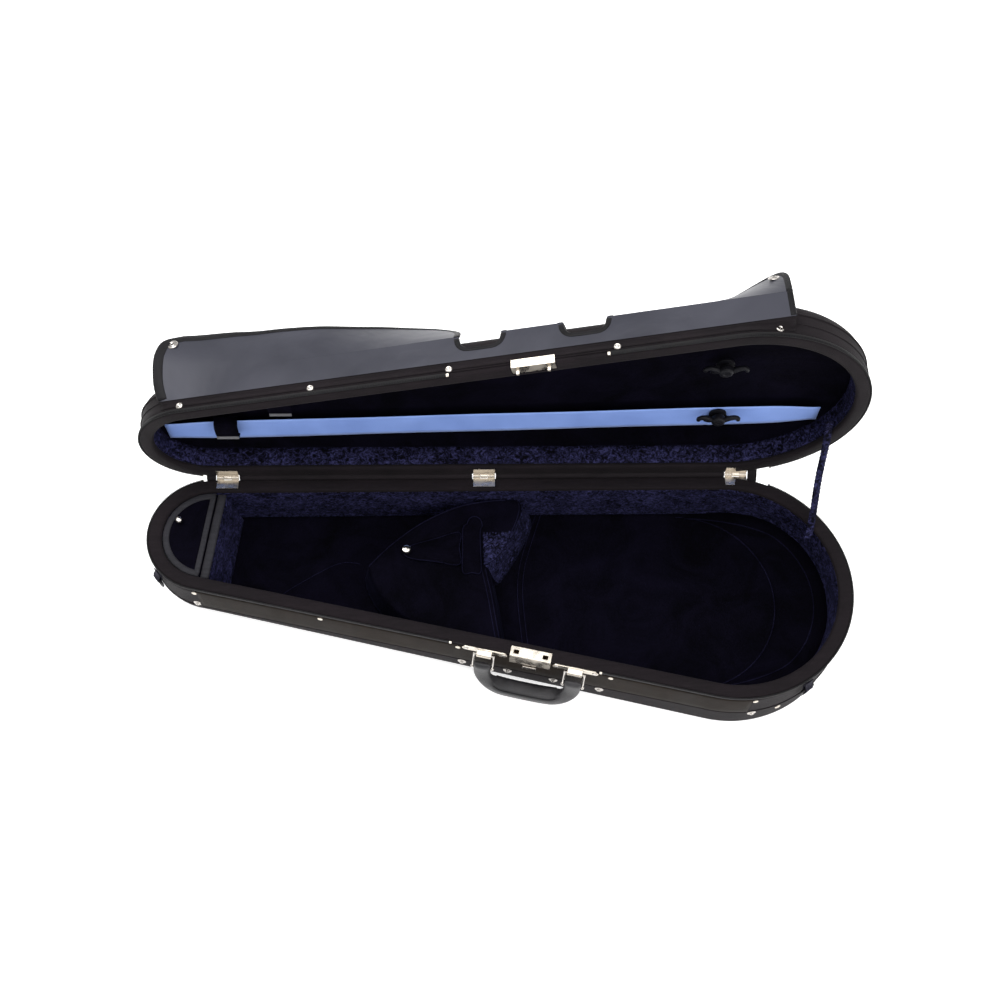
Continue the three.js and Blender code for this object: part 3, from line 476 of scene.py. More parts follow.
def edging(name, C, radius, body="base", lid=False, closed=False):
    """A thin piped edge or seam on velvet, in the piping velvet, whose lighter colour is partly its own
    violet-grey and partly painted highlight.
    """
    return tube(name, C, radius, PIPING_VELVET_PAINTED_HIGHLIGHT, body, lid, closed=closed)


def piping(name, out, z, radius, body, lid=False, ds=None, material=None):
    """A cord along the wall: all the way round, or along distances ds."""
    ring = ds is None
    ds = around(5.0) if ring else ds
    A = raised(outline(ds)[1], 0)
    sweep(name, wall(ds, out, z), A, (0, 0, 1), oval(radius, radius, 8), material or COVER, body, lid, ring)


def curve(points, step=2.0, closed=False):
    """A smooth Catmull-Rom curve through points, sampled every `step` millimetres."""
    P = np.asarray(points, float)
    n = len(P)
    out = []
    for i in range(n if closed else n - 1):
        p0, p1, p2, p3 = ((P[(i + k) % n] for k in (-1, 0, 1, 2)) if closed else
                          (P[max(i - 1, 0)], P[i], P[i + 1], P[min(i + 2, n - 1)]))
        m = max(2, int(np.linalg.norm(p2 - p1) / step))
        for t in np.linspace(0, 1, m, endpoint=False):
            out.append(0.5 * (2 * p1 + (p2 - p0) * t + (2 * p0 - 5 * p1 + 4 * p2 - p3) * t ** 2
                              + (3 * p1 - p0 - 3 * p2 + p3) * t ** 3))
    if not closed:
        out.append(P[-1])
    return np.array(out)


def filled(boundary, step, lines=()):
    """Triangles that fill a closed boundary, with points every `step` inside and along any lines."""
    arr = np.asarray(boundary, float)
    pts = [Vector(p) for p in arr]
    n = len(pts)
    edges = [(i, (i + 1) % n) for i in range(n)]
    for line in lines:
        start = len(pts)
        pts += [Vector(p) for p in line]
        edges += [(i, i + 1) for i in range(start, len(pts) - 1)]
    (x0, y0), (_, y1) = arr.min(0), arr.max(0)
    rowstep = step * 0.866                 # rows of even-sided triangles
    clear = (step * 0.6) ** 2
    cells = {}
    for p in np.array([list(p) for p in pts]):
        cells.setdefault((int(p[0] // step), int(p[1] // step)), []).append(p)
    X, Y = arr[:, 0], arr[:, 1]
    X2, Y2 = np.roll(X, -1), np.roll(Y, -1)
    for r in range(int((y1 - y0) / rowstep) + 1):
        y = y0 + r * rowstep
        cross = (Y > y) != (Y2 > y)
        cuts = np.sort(X[cross] + (y - Y[cross]) / (Y2[cross] - Y[cross]) * (X2[cross] - X[cross]))
        for a, b in zip(cuts[::2], cuts[1::2]):
            first = math.ceil((a - x0) / step) * step + x0 + (r % 2) * step / 2
            for x in np.arange(first, b, step):
                i, j = int(x // step), int(y // step)
                close = [q for u in (-1, 0, 1) for v in (-1, 0, 1) for q in cells.get((i + u, j + v), ())]
                if all((q[0] - x) ** 2 + (q[1] - y) ** 2 > clear for q in close):
                    pts.append(Vector((x, y)))
    verts, _, faces, _, _, _ = delaunay_2d_cdt(pts, edges, [list(range(n))], 1, 1e-5)
    return np.array([list(v) for v in verts]), [tuple(f) for f in faces]


def slab(name, flat, F, place, thick, material, body, lid=False, back=None):
    """Turns flat triangles into a thin closed sheet; place(flat points, height) gives 3-D points."""
    count = len(flat)
    edges = dict.fromkeys((a, b) for f in F for a, b in zip(f, f[1:] + f[:1]))
    faces = F + [tuple(i + count for i in f[::-1]) for f in F]
    faces += [(b, a, a + count, b + count) for a, b in edges if (b, a) not in edges]
    V = np.vstack([place(flat, thick), place(flat, 0.0)])
    obj = make(name, V, faces, material, body, lid, np.vstack([flat, flat]))
    if back is not None:
        obj.data.materials.append(back)
        index = np.zeros(len(obj.data.polygons), int)
        index[len(F):] = 1
        obj.data.polygons.foreach_set("material_index", index)
    return obj


def lathe(name, profile, at, normal, material, n=28):
    """A turned piece: profile of (radius, height) pairs along the normal."""
    normal = Vector(normal).normalized()
    a = normal.orthogonal().normalized()
    b = normal.cross(a)
    V = [list(Vector(at) + normal * h + a * x + b * y) for r, h in profile for x, y in oval(r, r, n)]
    return make(name, V, bar_faces(len(profile), n), material, None)


def dome(r, h):
    """A shallow rivet head."""
    edge, steps = 0.4, 7
    turns = np.linspace(0.15, math.pi / 2 - 0.05, steps)
    rows = [(r * 0.9, -0.6), (r, -0.2), (r, edge * 0.5)]
    return rows + [(r * math.cos(t), edge + (h - edge) * math.sin(t)) for t in turns]


def turned(section, r):
    """A profile given in parts of the radius, at radius r."""
    return [(r * part, h) for part, h in section]


# a press-stud: flange, groove and a raised ringed post
STUD = [(0.9, -0.5), (1, -0.1), (1, 0.35), (0.86, 0.7), (0.66, 0.65), (0.6, 0.55), (0.5, 1.0), (0.46, 1.9),
        (0.36, 2.3), (0.24, 2.1), (0.18, 1.3), (0.02, 1.25)]
# its cap seen from inside: a ring round a dished eye
SOCKET = [(0.9, -0.5), (1, -0.1), (1, 0.5), (0.9, 1.1), (0.72, 1.2), (0.62, 0.8), (0.5, 0.7), (0.42, 1.5),
          (0.3, 1.6), (0.2, 0.9), (0.02, 0.85)]


def joined(name, objs):
    """Joins objects into the first one."""
    for o in bpy.context.selected_objects:
        o.select_set(False)
    for o in objs:
        o.select_set(True)
    bpy.context.view_layer.objects.active = objs[0]
    bpy.ops.object.join()
    objs[0].name = name
    objs[0].data.name = name
    return objs[0]


# ---------- base: cover, shell, rim, linings ----------
NARROW_ROUND, WIDE_ROUND = 38, 8           # radius of the bottom edge at the two ends
RING = around(6.0)
ROUND = NARROW_ROUND + (WIDE_ROUND - NARROW_ROUND) * np.clip((outline(RING)[0][:, 0] + SPAN) / STRAIGHT, 0, 1)
BOARD_T = 2                                # the shell's thickness behind the cloth


def bottom_rows(deep, angles):
    """The rounded bottom edge, `deep` inside the outline."""
    radius = np.maximum(ROUND - deep, 1)
    return [(deep + radius * (1 - math.cos(math.radians(a))), deep + radius * (1 - math.sin(math.radians(a))))
            for a in angles]


def tub(name, rows, material, body, lid=False):
    """A ring loft whose first and last rings are closed with flat faces."""
    obj = loft(name, RING, rows, material, body, lid, False)
    bm = bmesh.new()
    bm.from_mesh(obj.data)
    bmesh.ops.holes_fill(bm, edges=[e for e in bm.edges if e.is_boundary], sides=0)
    bmesh.ops.recalc_face_normals(bm, faces=bm.faces[:])
    for f in bm.faces:
        f.smooth = len(f.verts) < 5
    bm.to_mesh(obj.data)
    bm.free()
    return obj


COVER_TOP = 81.2
wall_z = np.linspace(44, COVER_TOP, 6)
rows = bottom_rows(BOARD_T, range(90, -1, -15)) + [(BOARD_T, z) for z in wall_z] + [(0.3, COVER_TOP)]
rows += [(0, z) for z in wall_z[::-1]] + bottom_rows(0, range(0, 91, 9))
base_cover = tub("base_cover_cloth", rows, COVER, "base")
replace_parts(base_cover, "base_cover")

LOCK = (67.2, 112.8)                       # the lock plate's ends along the front wall
LEAF = 12.9                                # half a hinge leaf's length
PLACES = ("narrow", "middle", "wide")
HINGE_XS = [sum(corner.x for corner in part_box(f"hinge_pin_{p}")) * 500 for p in PLACES]
EDGES = [LOCK[0] - 0.1, LOCK[0] + 0.1, LOCK[1] - 0.1, LOCK[1] + 0.1]
EDGES += [WIDE_END + SPAN - x + s * (LEAF + k) for x in HINGE_XS for s in (-1, 1) for k in (-0.1, 0.1)]


def rim_band(name, foot, top, body, lid=False):
    """A padded, cloth-covered rim: pressed down under the hinge leaves and cut back behind the lock."""
    ds = around(5.0, EDGES)
    P, _ = outline(ds)
    t = (ds - (WIDE_END + STRAIGHT / 2)) % TOTAL + WIDE_END + STRAIGHT / 2
    s = np.where(t > TOTAL - STRAIGHT / 2, t - TOTAL, t)
    at_lock = (s > LOCK[0]) & (s < LOCK[1])
    at_leaf = np.zeros(len(ds), bool)
    for x in HINGE_XS:
        at_leaf |= (abs(P[:, 0] - x) < LEAF) & (P[:, 1] > BACK_Y - 1)
    section = [(0.9, 0.05), (0.1, 0.22), (0, 0.5), (0.25, 0.78), (1.1, 0.95), (2.6, 1.0), (6, 1.03), (9.7, 1.03),
               (12.6, 0.98), (14.2, 0.84), (15, 0.55), (15, 0.3), (14.3, 0.06)]
    rows = []
    for inset, share in section:
        deep = np.where(at_lock, max(inset, 9.9), inset)
        share = np.where(at_leaf & (inset < 11.6), min(share, 0.72), share)
        rows.append((deep, foot + (top - foot) * share))
    return loft(name, ds, rows, RIM_CLOTH, body, lid)


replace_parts(rim_band("base_rim_cloth", RIM - 6, RIM, "base"), "base_rim")
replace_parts(rim_band("lid_rim_cloth", 6.5, 0.5, "lid", True), "lid_rim")


def plush_wall(name, low, high, body, lid=False, bulge=1.4, foot=0.0):
    """The lining down the inside of a wall: it bulges, and thickens at its foot."""
    inner, outer = 14.6, 10.2
    ds = around(3.6)
    zs = np.linspace(high, low, max(6, int(abs(high - low) / 3.2)))
    share = (zs - low) / (high - low)
    rows = [(inner + bulge * math.sin(math.pi * k) + foot * (1 - k) ** 3, z) for k, z in zip(share, zs)]
    count = len(rows)
    rows += [(outer, low), (outer, high)]

    def puff(V, N):
        inside = V[:count].reshape(-1, 3)
        clumps = 0.9 * rough(inside, 16, 3, 3) + 0.5 * rough(inside, 6, 9, 2)
        fade = np.clip(np.minimum(share, 1 - share) * 9, 0, 1)[:, None]
        V[:count, :, :2] -= N[None] * (clumps.reshape(count, -1) * fade)[..., None]
        return V
    return loft(name, ds, rows, PLUSH_PAINTED_SHEEN, body, lid, shift=puff)


lining = plush_wall("base_plush_lining", PAD - 0.5, RIM - 6.2, "base", foot=1.6)
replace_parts(lining, "base_wall_lining")

# floor, with its sewn seams
# the piping velvet: lighter than the velvet it edges, partly its own violet-grey and partly painted highlight
# where the raised cords catch the light
PIPING_VELVET_PAINTED_HIGHLIGHT = velvet("velvet_piping_painted_highlight", (0.0022, 0.0020, 0.0065), (0.0090, 0.0085, 0.0240), (0.45, 0.45, 0.9))
EDGE_DS = around(7.0)
SEAMS = {
    "bed": curve([(80, 85.5), (72, 62), (60, 22), (56, -10), (57, -45), (62, -100)], 5),
    "bed_twin": curve([(86, 85.5), (78, 61), (66, 21), (62, -10), (63, -45), (68, -101)], 5),
    "scroll": curve([(-222, -21), (-200, -4), (-153, 23), (-127, 23)], 5),
}
SEAM_POINTS = np.vstack(list(SEAMS.values()))
flat, F = filled(wall(EDGE_DS, -14.2, 0)[:, :2], 5.5, [line[2:-2] for line in SEAMS.values()])


def floor_place(flat, h):
    soft = 0.5 * rough(raised(flat, 0), 45, 4, 2)
    z = PAD - 0.1 + soft - 1.1 * np.exp(-(nearest(flat, SEAM_POINTS) / 4.0) ** 2)
    return raised(flat, z if h else PAD - 3.2)


floor = slab("floor_velvet", flat, F, floor_place, 1, VELVET, "base")
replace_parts(floor, "floor_pad")
for name, line in SEAMS.items():
    edging(f"seam_{name}", raised(line, PAD - 0.7), 0.55)

# the crescent that holds the lower bout: an inner and an outer arc with a slope between
bout = np.array([245.0, -28.0])
angles = np.radians(np.linspace(-97, 97, 76))
direction = np.column_stack([np.cos(angles), np.sin(angles)])
height = ease((math.radians(99) - abs(angles)) / math.radians(50))[:, None]
far = WIDE + direction * (WIDE_R - 15.0)
inner = bout + direction * 108
outer = inner + (WIDE + direction * 102 - inner) * (0.15 + 0.85 * height)
rows = []
for share, lift in [(0, -0.4), (0, 0.15), (0.15, 1.6), (0.35, 5.2), (0.6, 9.6), (0.82, 13.4), (0.93, 15.2),
                    (1, 15.9)]:
    rows.append(np.column_stack([inner + (outer - inner) * share, PAD + lift * height]))
for share, lift in [(0.15, 16.2), (0.5, 16.0), (0.9, 15.4), (1.0, 13.5), (1.0, -0.4)]:
    rows.append(np.column_stack([outer + (far - outer) * share, PAD + lift * height]))
V = np.stack(rows, 1)
V[..., 2] += 0.35 * rough(V, 18, 5, 2).reshape(V.shape[:2])
cushion = bar("lower_bout_cushion_velvet", V, VELVET, "base")
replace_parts(cushion, "lower_bout_cushion")
for name, edge, lift in [("inner", inner, 0.3), ("outer", outer, 16.0)]:
    edging(f"cushion_piping_{name}", np.column_stack([edge, PAD + lift * height])[3:-3], 0.75)

# ---------- neck block ----------
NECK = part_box("neck_block")[1].z * 1000


def bezier(p0, p1, p2, n=14):
    """Points of a quadratic curve, without its last."""
    t = np.linspace(0, 1, n, endpoint=False)[:, None]
    p0, p1, p2 = map(np.array, (p0, p1, p2))
    return (1 - t) ** 2 * p0 + 2 * t * (1 - t) * p1 + t ** 2 * p2


plan = np.vstack([
    bezier((-115, 1), (-66, 60), (-8, 78)), bezier((-8, 78), (20, 85.4), (50, 85.4), 8),
    bezier((50, 85.4), (64, 85), (62, 70), 8), bezier((62, 70), (52, 40), (22, -2)),
    bezier((22, -2), (30, -44), (36, -95.6)), bezier((36, -95.6), (-7, -86), (-50, -76), 10),
    bezier((-50, -76), (-104, -48), (-115, 1))])
plan = plan[np.concatenate([[True], np.linalg.norm(np.diff(plan, axis=0), axis=1) > 0.5])]
area = 0.5 * np.sum(plan[:, 0] * np.roll(plan[:, 1], -1) - np.roll(plan[:, 0], -1) * plan[:, 1])
tangent = unit(np.roll(plan, -1, 0) - np.roll(plan, 1, 0))
outward = np.column_stack([tangent[:, 1], -tangent[:, 0]]) * math.copysign(1, area)
POCKET = np.array([(-10, 1), (-10, 43), (-66, 27), (-76, 18), (-66, 9)], float)


def inside_by(points, polygon):
    """Signed distance inside a convex polygon."""
    P, Q = polygon, np.roll(polygon, -1, 0)
    turn = math.copysign(1, 0.5 * np.sum(P[:, 0] * Q[:, 1] - Q[:, 0] * P[:, 1]))
    T = unit(Q - P)
    return (turn * ((points[:, None, 1] - P[None, :, 1]) * T[None, :, 0]
                    - (points[:, None, 0] - P[None, :, 0]) * T[None, :, 1])).min(1)


def neck_height(p):
    """Top of the neck block: crowned, with the neck's channel and the pocket's recess sunk into it."""
    z = NECK - 0.3 + 0.4 * rough(raised(p, 0), 30, 6, 2)
    across = np.clip(1 - (abs(p[:, 1] - 22) / 21) ** 2.6, 0, 1)
    z -= 19 * across * ease((p[:, 0] + 9) / 16) * (0.55 + 0.45 * ease((p[:, 0] - 5) / 50))
    z -= 3.6 * np.clip((inside_by(p, POCKET) + 1.2) / 0.9, 0, 1) * (p[:, 0] < -9)
    return z


rows = []
right_side = np.clip((plan[:, 0] - 12) / 12, 0, 1) * (plan[:, 1] > -6)
for out, share in [(6.5, 0.0), (4.6, 0.18), (2.8, 0.42), (1.4, 0.66), (0.4, 0.84), (-0.5, 0.93), (-1.8, 0.985),
                   (-3.6, 1.0)]:
    spread = out * (1 + 0.9 * right_side) if out > 0 else np.full(len(plan), out)
    top = neck_height(plan + outward * min(out, -1))
    rows.append(raised(plan + outward * spread[:, None], PAD + (top - PAD) * share))
skirt = np.vstack(rows)
flat, F = filled(rows[-1][:, :2], 3.4)
top = raised(flat, neck_height(flat))
count = len(skirt)
faces = grid_faces(len(rows), len(plan), False, True) + [tuple(i + count for i in f) for f in F]
faces.append(tuple(range(len(plan))))
neck = make("neck_block_velvet", np.vstack([skirt, top]), faces, VELVET, "base")
bm = bmesh.new()
bm.from_mesh(neck.data)
bmesh.ops.remove_doubles(bm, verts=bm.verts[:], dist=0.0003)
bmesh.ops.recalc_face_normals(bm, faces=bm.faces[:])
for f in bm.faces:
    c = f.calc_center_median() * 1000
    f.material_index = int(c.x > 17 and c.y > -4 and c.z < NECK - 2.5 and c.z > PAD + 0.2)
bm.to_mesh(neck.data)
bm.free()
neck.data.materials.append(PLUSH_PAINTED_SHEEN)
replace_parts(neck, "neck_block")


def on_neck(points, lift):
    """Points on top of the neck block."""
    p = np.asarray(points, float)[:, :2]
    return raised(p, neck_height(p) + lift)


edge = plan - outward * 1.6
left = edge[(plan[:, 1] > -2) & (plan[:, 0] < 48)]
left = left[np.argsort(left[:, 0])]
left = left[left[:, 1] > np.interp(left[:, 0], (-115, -60, 0, 50), (-4, 30, 60, 75))]
edging("neck_seam_back", on_neck(curve(left, 4), -0.5), 0.7)
for i, shift in enumerate((0.0, 4.2)):
    line = curve([(18 - shift, -3), (24.5 - shift, -36), (29 - shift, -66), (32.5 - shift, -88)], 4)
    edging(f"neck_seam_front_{i}", on_neck(line, 0.0), 0.6)
line = curve([(20, 2), (34, 20), (46, 38), (53, 52), (58.5, 70), (58, 80)], 4)
edging("neck_seam_wide", on_neck(line, -0.6), 0.7)

# the strap over the neck, with its rounded tab
strap_plan = curve([(-7, -9), (3, -9.4), (13, -9), (13.2, 18), (13, 42), (15.5, 50), (13, 58), (7, 61.5),
                    (0.5, 58.5), (-2, 52), (-6.8, 46), (-7.2, 18)], 2.5, True)
flat, F = filled(strap_plan, 3.0)


def strap_place(flat, h):
    sag = 1.1 * np.clip(1 - ((flat[:, 1] - 21) / 24) ** 2, 0, 1)
    return raised(flat, NECK + 0.4 - sag + h + 0.25 * rough(raised(flat, flat[:, 0]), 9, 2, 2))


strap = slab("neck_strap_velvet", flat, F, strap_place, 1.6, VELVET, "base")
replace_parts(strap, "neck_strap")
edging("neck_strap_edging", strap_place(strap_plan, 1.4), 0.65, closed=True)

# the neck pocket's leaf-shaped lid
leaf = curve([(-11, 2), (-11, 22), (-11, 42), (-38, 34.6), (-65, 26.4), (-73.5, 21), (-73.5, 15), (-65, 9.8),
              (-38, 5.8)], 2.5, True)
flat, F = filled(leaf, 3.2)


def leaf_place(flat, h):
    crown = 0.9 * np.clip(inside_by(flat, POCKET) / 8, 0, 1)
    return raised(flat, NECK - 3.2 + (3.0 + crown) * h)


leaf_lid = slab("neck_pocket_lid_velvet", flat, F, leaf_place, 1, VELVET, "neck_pocket_lid")
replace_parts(leaf_lid, "neck_pocket_lid")
edging("neck_pocket_edging", leaf_place(leaf, 0.9), 0.6, "neck_pocket_lid", closed=True)

# ---------- scroll-end pocket ----------
POCKET_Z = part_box("scroll_pocket_lid")[0].z * 1000 - 0.3
axis = np.array([math.cos(TAPER), -math.sin(TAPER)])
side = np.array([math.sin(TAPER), math.cos(TAPER)])


def local_points(origin, x_axis, y_axis, x, y, z):
    """Points from a corner of the plan and two directions in it; x, y and z broadcast together."""
    x, y, z = (v.reshape(-1, 1) for v in np.broadcast_arrays(*(np.asarray(v, float) for v in (x, y, z))))
    return np.column_stack([origin + x * x_axis + y * y_axis, z])


def pocket_point(x, y, z):
    """Points from the narrow end's centre, along the case and across it."""
    return local_points(NARROW, axis, side, x, y, z)


LID_R = NARROW_R - 15.8
LID_EDGE = -1.5                            # the pocket lid's straight edge, from the end's centre
arc = np.linspace(math.pi / 2 + 0.03, 1.5 * math.pi - 0.03, 44)
half = np.column_stack([LID_R * np.cos(arc), LID_R * np.sin(arc)])
half = np.vstack([half, [(LID_EDGE, y) for y in np.linspace(-LID_R + 1, LID_R - 1, 12)]])
flat, F = filled(half, 4.0)


def pad_place(flat, h):
    edge = np.minimum(LID_R - np.hypot(flat[:, 0], flat[:, 1]), LID_EDGE - flat[:, 0])
    lift = 0.4 + 2.6 * ease(edge / 4) + 1.0 * ease((edge - 6) / 16)
    lift += 0.25 * rough(raised(flat, flat[:, 0]), 14, 8, 2)
    return pocket_point(flat[:, 0], flat[:, 1], POCKET_Z + 0.5 + lift * h)


pad = slab("scroll_pocket_lid_velvet", flat, F, pad_place, 1, VELVET, "scroll_pocket_lid")
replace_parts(pad, "scroll_pocket_lid")
band = np.linspace(arc[0] + 0.02, arc[-1] - 0.02, 60)
C = pocket_point((LID_R - 3.6) * np.cos(band), (LID_R - 3.6) * np.sin(band), POCKET_Z + 3.4)
A = raised(np.cos(band)[:, None] * axis + np.sin(band)[:, None] * side, 0)
TAPE_SECTION = [(-3.6, 0.3), (-3.2, 1.1), (-1.5, 1.35), (1.5, 1.35), (3.3, 1.0), (3.7, 0), (3.4, -1.8),
                (2.6, -1.8), (2.4, 0.1), (-3.2, 0.1)]
sweep("scroll_pocket_binding", C, A, (0, 0, 1), TAPE_SECTION, TAPE, "scroll_pocket_lid")


def flat_band(name, x0, x1, reach, z, body, thick):
    """A tape across the case, from x0 to x1 by the end's centre."""
    ys = np.linspace(-reach, reach, 40)
    C = pocket_point((x0 + x1) / 2, ys, z + 0.15 * np.sin(ys / 9))
    w = (x1 - x0) / 2
    section = [(-w, 0), (-w + 0.4, thick * 0.8), (-w * 0.4, thick)]
    section += [(-a, h) for a, h in section[::-1]]
    sweep(name, C, (*axis, 0), (0, 0, 1), section, TAPE, body)


flat_band("scroll_pocket_edge_tape", -8.2, -1.9, LID_R - 3.5, POCKET_Z + 3.6, "scroll_pocket_lid", 1.1)
flat_band("scroll_pocket_hinge_cloth", -0.9, 8.6, LID_R + 0.3, POCKET_Z + 0.1, "base", 1.9)
ys = np.linspace(-LID_R - 0.2, LID_R + 0.2, 34)
rows = []
for x, z in [(0, POCKET_Z), (4.5, POCKET_Z + 0.1), (8.4, POCKET_Z - 0.6), (9.6, POCKET_Z - 6), (11.6, 66),
             (13.4, 56), (15.2, 46), (17, 36), (19.5, 27), (20.5, PAD - 0.4), (-2, PAD - 0.4), (-1, 50)]:
    puff = 0.8 * rough([(x, y, z) for y in ys], 12, 7, 2) if 30 < z < 78 and x > 5 else 0
    rows.append(pocket_point(x + puff, ys * (1 - 0.03 * (z < 40)), z))
partition = bar("scroll_partition_plush", np.stack(rows, 1), PLUSH_PAINTED_SHEEN, "base")
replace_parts(partition, "scroll_partition")

# ---------- lid: cover, linings, panel ----------
LID_RING_Z = 6.8
LID_ROUND, LID_ROUND_Z = 20, 30            # radius of the lid's edge, and where it begins


def lid_edge(deep):
    """The lid's rounded edge, `deep` inside the outline."""
    radius = LID_ROUND - deep
    return [(deep + radius * (1 - math.cos(a)), LID_ROUND_Z + radius * math.sin(a))
            for a in (math.radians(a) for a in range(0, 91, 9))]


rows = [(42, 51.7), (30, 50.6)] + lid_edge(BOARD_T)[::-1]
rows += [(BOARD_T, 24), (BOARD_T, 15), (BOARD_T, LID_RING_Z), (0.3, LID_RING_Z), (0, 9), (0, 15), (0, 24)]
rows += lid_edge(0) + [(25, 51.4), (32, 52.8), (42, 53.7)]
lid_cover = tub("lid_cover_cloth", rows, COVER, "lid", True)
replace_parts(lid_cover, "lid_cover")

lining = plush_wall("lid_plush_lining", 28.4, LID_RING_Z, "lid", True, bulge=0.9, foot=2.2)
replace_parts(lining, "lid_wall_lining")

dense = outline(around(3.0))[0]
wrinkles = [curve([(196, -52), (222, -38), (246, -22)], 3), curve([(212, -58), (243, -50), (262, -30)], 3)]
flat, F = filled(wall(EDGE_DS, -14.4, 0)[:, :2], 6.5)


def panel_place(flat, h):
    z = 27.5 + 8.5 * ease((nearest(flat, dense) - 14) / 36) + 0.4 * rough(raised(flat, 0), 60, 3, 2)
    for line in wrinkles:
        z -= 1.2 * np.exp(-(nearest(flat, line) / 5.0) ** 2)
    return raised(flat, z + 3.0 * h)


panel = slab("lid_panel_velvet", flat, F, panel_place, 1, VELVET, "lid", True)
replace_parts(panel, "lid_panel")

# ---------- ribbon and bow holders ----------
RIBBON_ENDS = np.array([(-336.0, 44.1), (389.0, 13.9)])
COUNT, ACROSS = 150, 9                     # points along and across the ribbon
run = np.linspace(0, 1, COUNT)
centre = RIBBON_ENDS[0] + (RIBBON_ENDS[1] - RIBBON_ENDS[0]) * run[:, None]
along = (RIBBON_ENDS[1] - RIBBON_ENDS[0]) / np.linalg.norm(RIBBON_ENDS[1] - RIBBON_ENDS[0])
across = np.array([-along[1], along[0]])
width = 17.5 - 3.0 * np.exp(-(run / 0.05) ** 2) - 4.0 * np.exp(-((run - 1.0) / 0.045) ** 2)
rows = []
for v in np.linspace(-1, 1, ACROSS):
    cup = 0.35 * np.cos(v * 1.5) + 0.5 * np.exp(-((run - 1) / 0.03) ** 2) * v
    rows.append(raised(centre + across * (v * width)[:, None], 26.2 + cup + 0.25 * np.sin(run * 19 + v)))
V = np.stack(rows, 1).reshape(-1, 3)
n = COUNT * ACROSS
F = grid_faces(COUNT, ACROSS)
faces = F + [tuple(i + n for i in f[::-1]) for f in F]
index = np.arange(n).reshape(COUNT, ACROSS)
loop = [*index[0], *index[1:, -1], *index[-1, -2::-1], *index[-2:0:-1, 0]]
faces += [(a, b, b + n, a + n) for a, b in zip(loop, loop[1:] + loop[:1])]
uv = grid_uv(run[:, None] * 726, np.linspace(-18, 18, ACROSS))
ribbon = make("ribbon_satin_band", np.vstack([V, V + (0, 0, 0.45)]), faces, RIBBON, "lid", True,
              np.vstack([uv, uv]))
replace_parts(ribbon, "ribbon")

# the bows' tip loops: a velvet band over each tip, held by a strip of elastic, with a small tab
ELASTIC = weave("elastic", (0.085, 0.085, 0.095), (0.260, 0.260, 0.280), 0.6, 1.0, 0.1, (1, 1, 1), 0.8)
LOOP_PATH = curve([(-17, -0.6), (-16.4, -6), (-12, -10.6), (-3, -11.4), (6, -11), (11, -9.6), (16, -6),
                   (17.4, -0.6)], 2)
LOOP_SECTION = [(-13, 0), (-12.4, 0.6), (-6, 0.8), (0, 0.9), (6, 0.8), (12.4, 0.6), (13, 0)]
ELASTIC_SECTION = [(-2.4, 0), (-2.4, 0.8), (-1.4, 1.2), (-0.6, 0.8), (0.6, 0.8), (1.4, 1.2), (2.4, 0.8),
                   (2.4, 0)]
for name, at_x, at_y, z in [("rear", -266, 30, 25.6), ("front", -204, -6, 32.4)]:
    narrow = 1 - 0.16 * ease((LOOP_PATH[:, 0] - 4) / 8)
    rows = [np.column_stack([at_x + x * narrow, at_y + LOOP_PATH[:, 0], z + LOOP_PATH[:, 1] - half])
            for x, half in LOOP_SECTION]
    rows += [row + (0, 0, 2 * half + 0.2) for row, (_, half) in zip(rows[-2:0:-1], LOOP_SECTION[1:-1])]
    loop = bar(f"tip_loop_{name}_velvet", np.stack(rows, 1), VELVET, "lid", True)
    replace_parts(loop, f"bow_tip_loop_{name}")
    C = [(at_x + x * 0.96, at_y + 6.5, z - 12.4) for x in np.linspace(-12.6, 12.6, 14)]
    sweep(f"tip_loop_{name}_elastic", C, (0, 1, 0), (0, 0, -1), ELASTIC_SECTION, ELASTIC, "lid", True)
    tab = curve([(-9.5, 10), (-8.5, 15), (-5.5, 17.4), (5.5, 17.4), (8.5, 15), (9.5, 10)], 2.0)
    drop = np.interp(tab[:, 1], LOOP_PATH[:, 0], LOOP_PATH[:, 1])
    edging(f"tip_loop_{name}_edging", raised(tab + (at_x, at_y), z + drop - 1.2), 0.7, "lid", True)

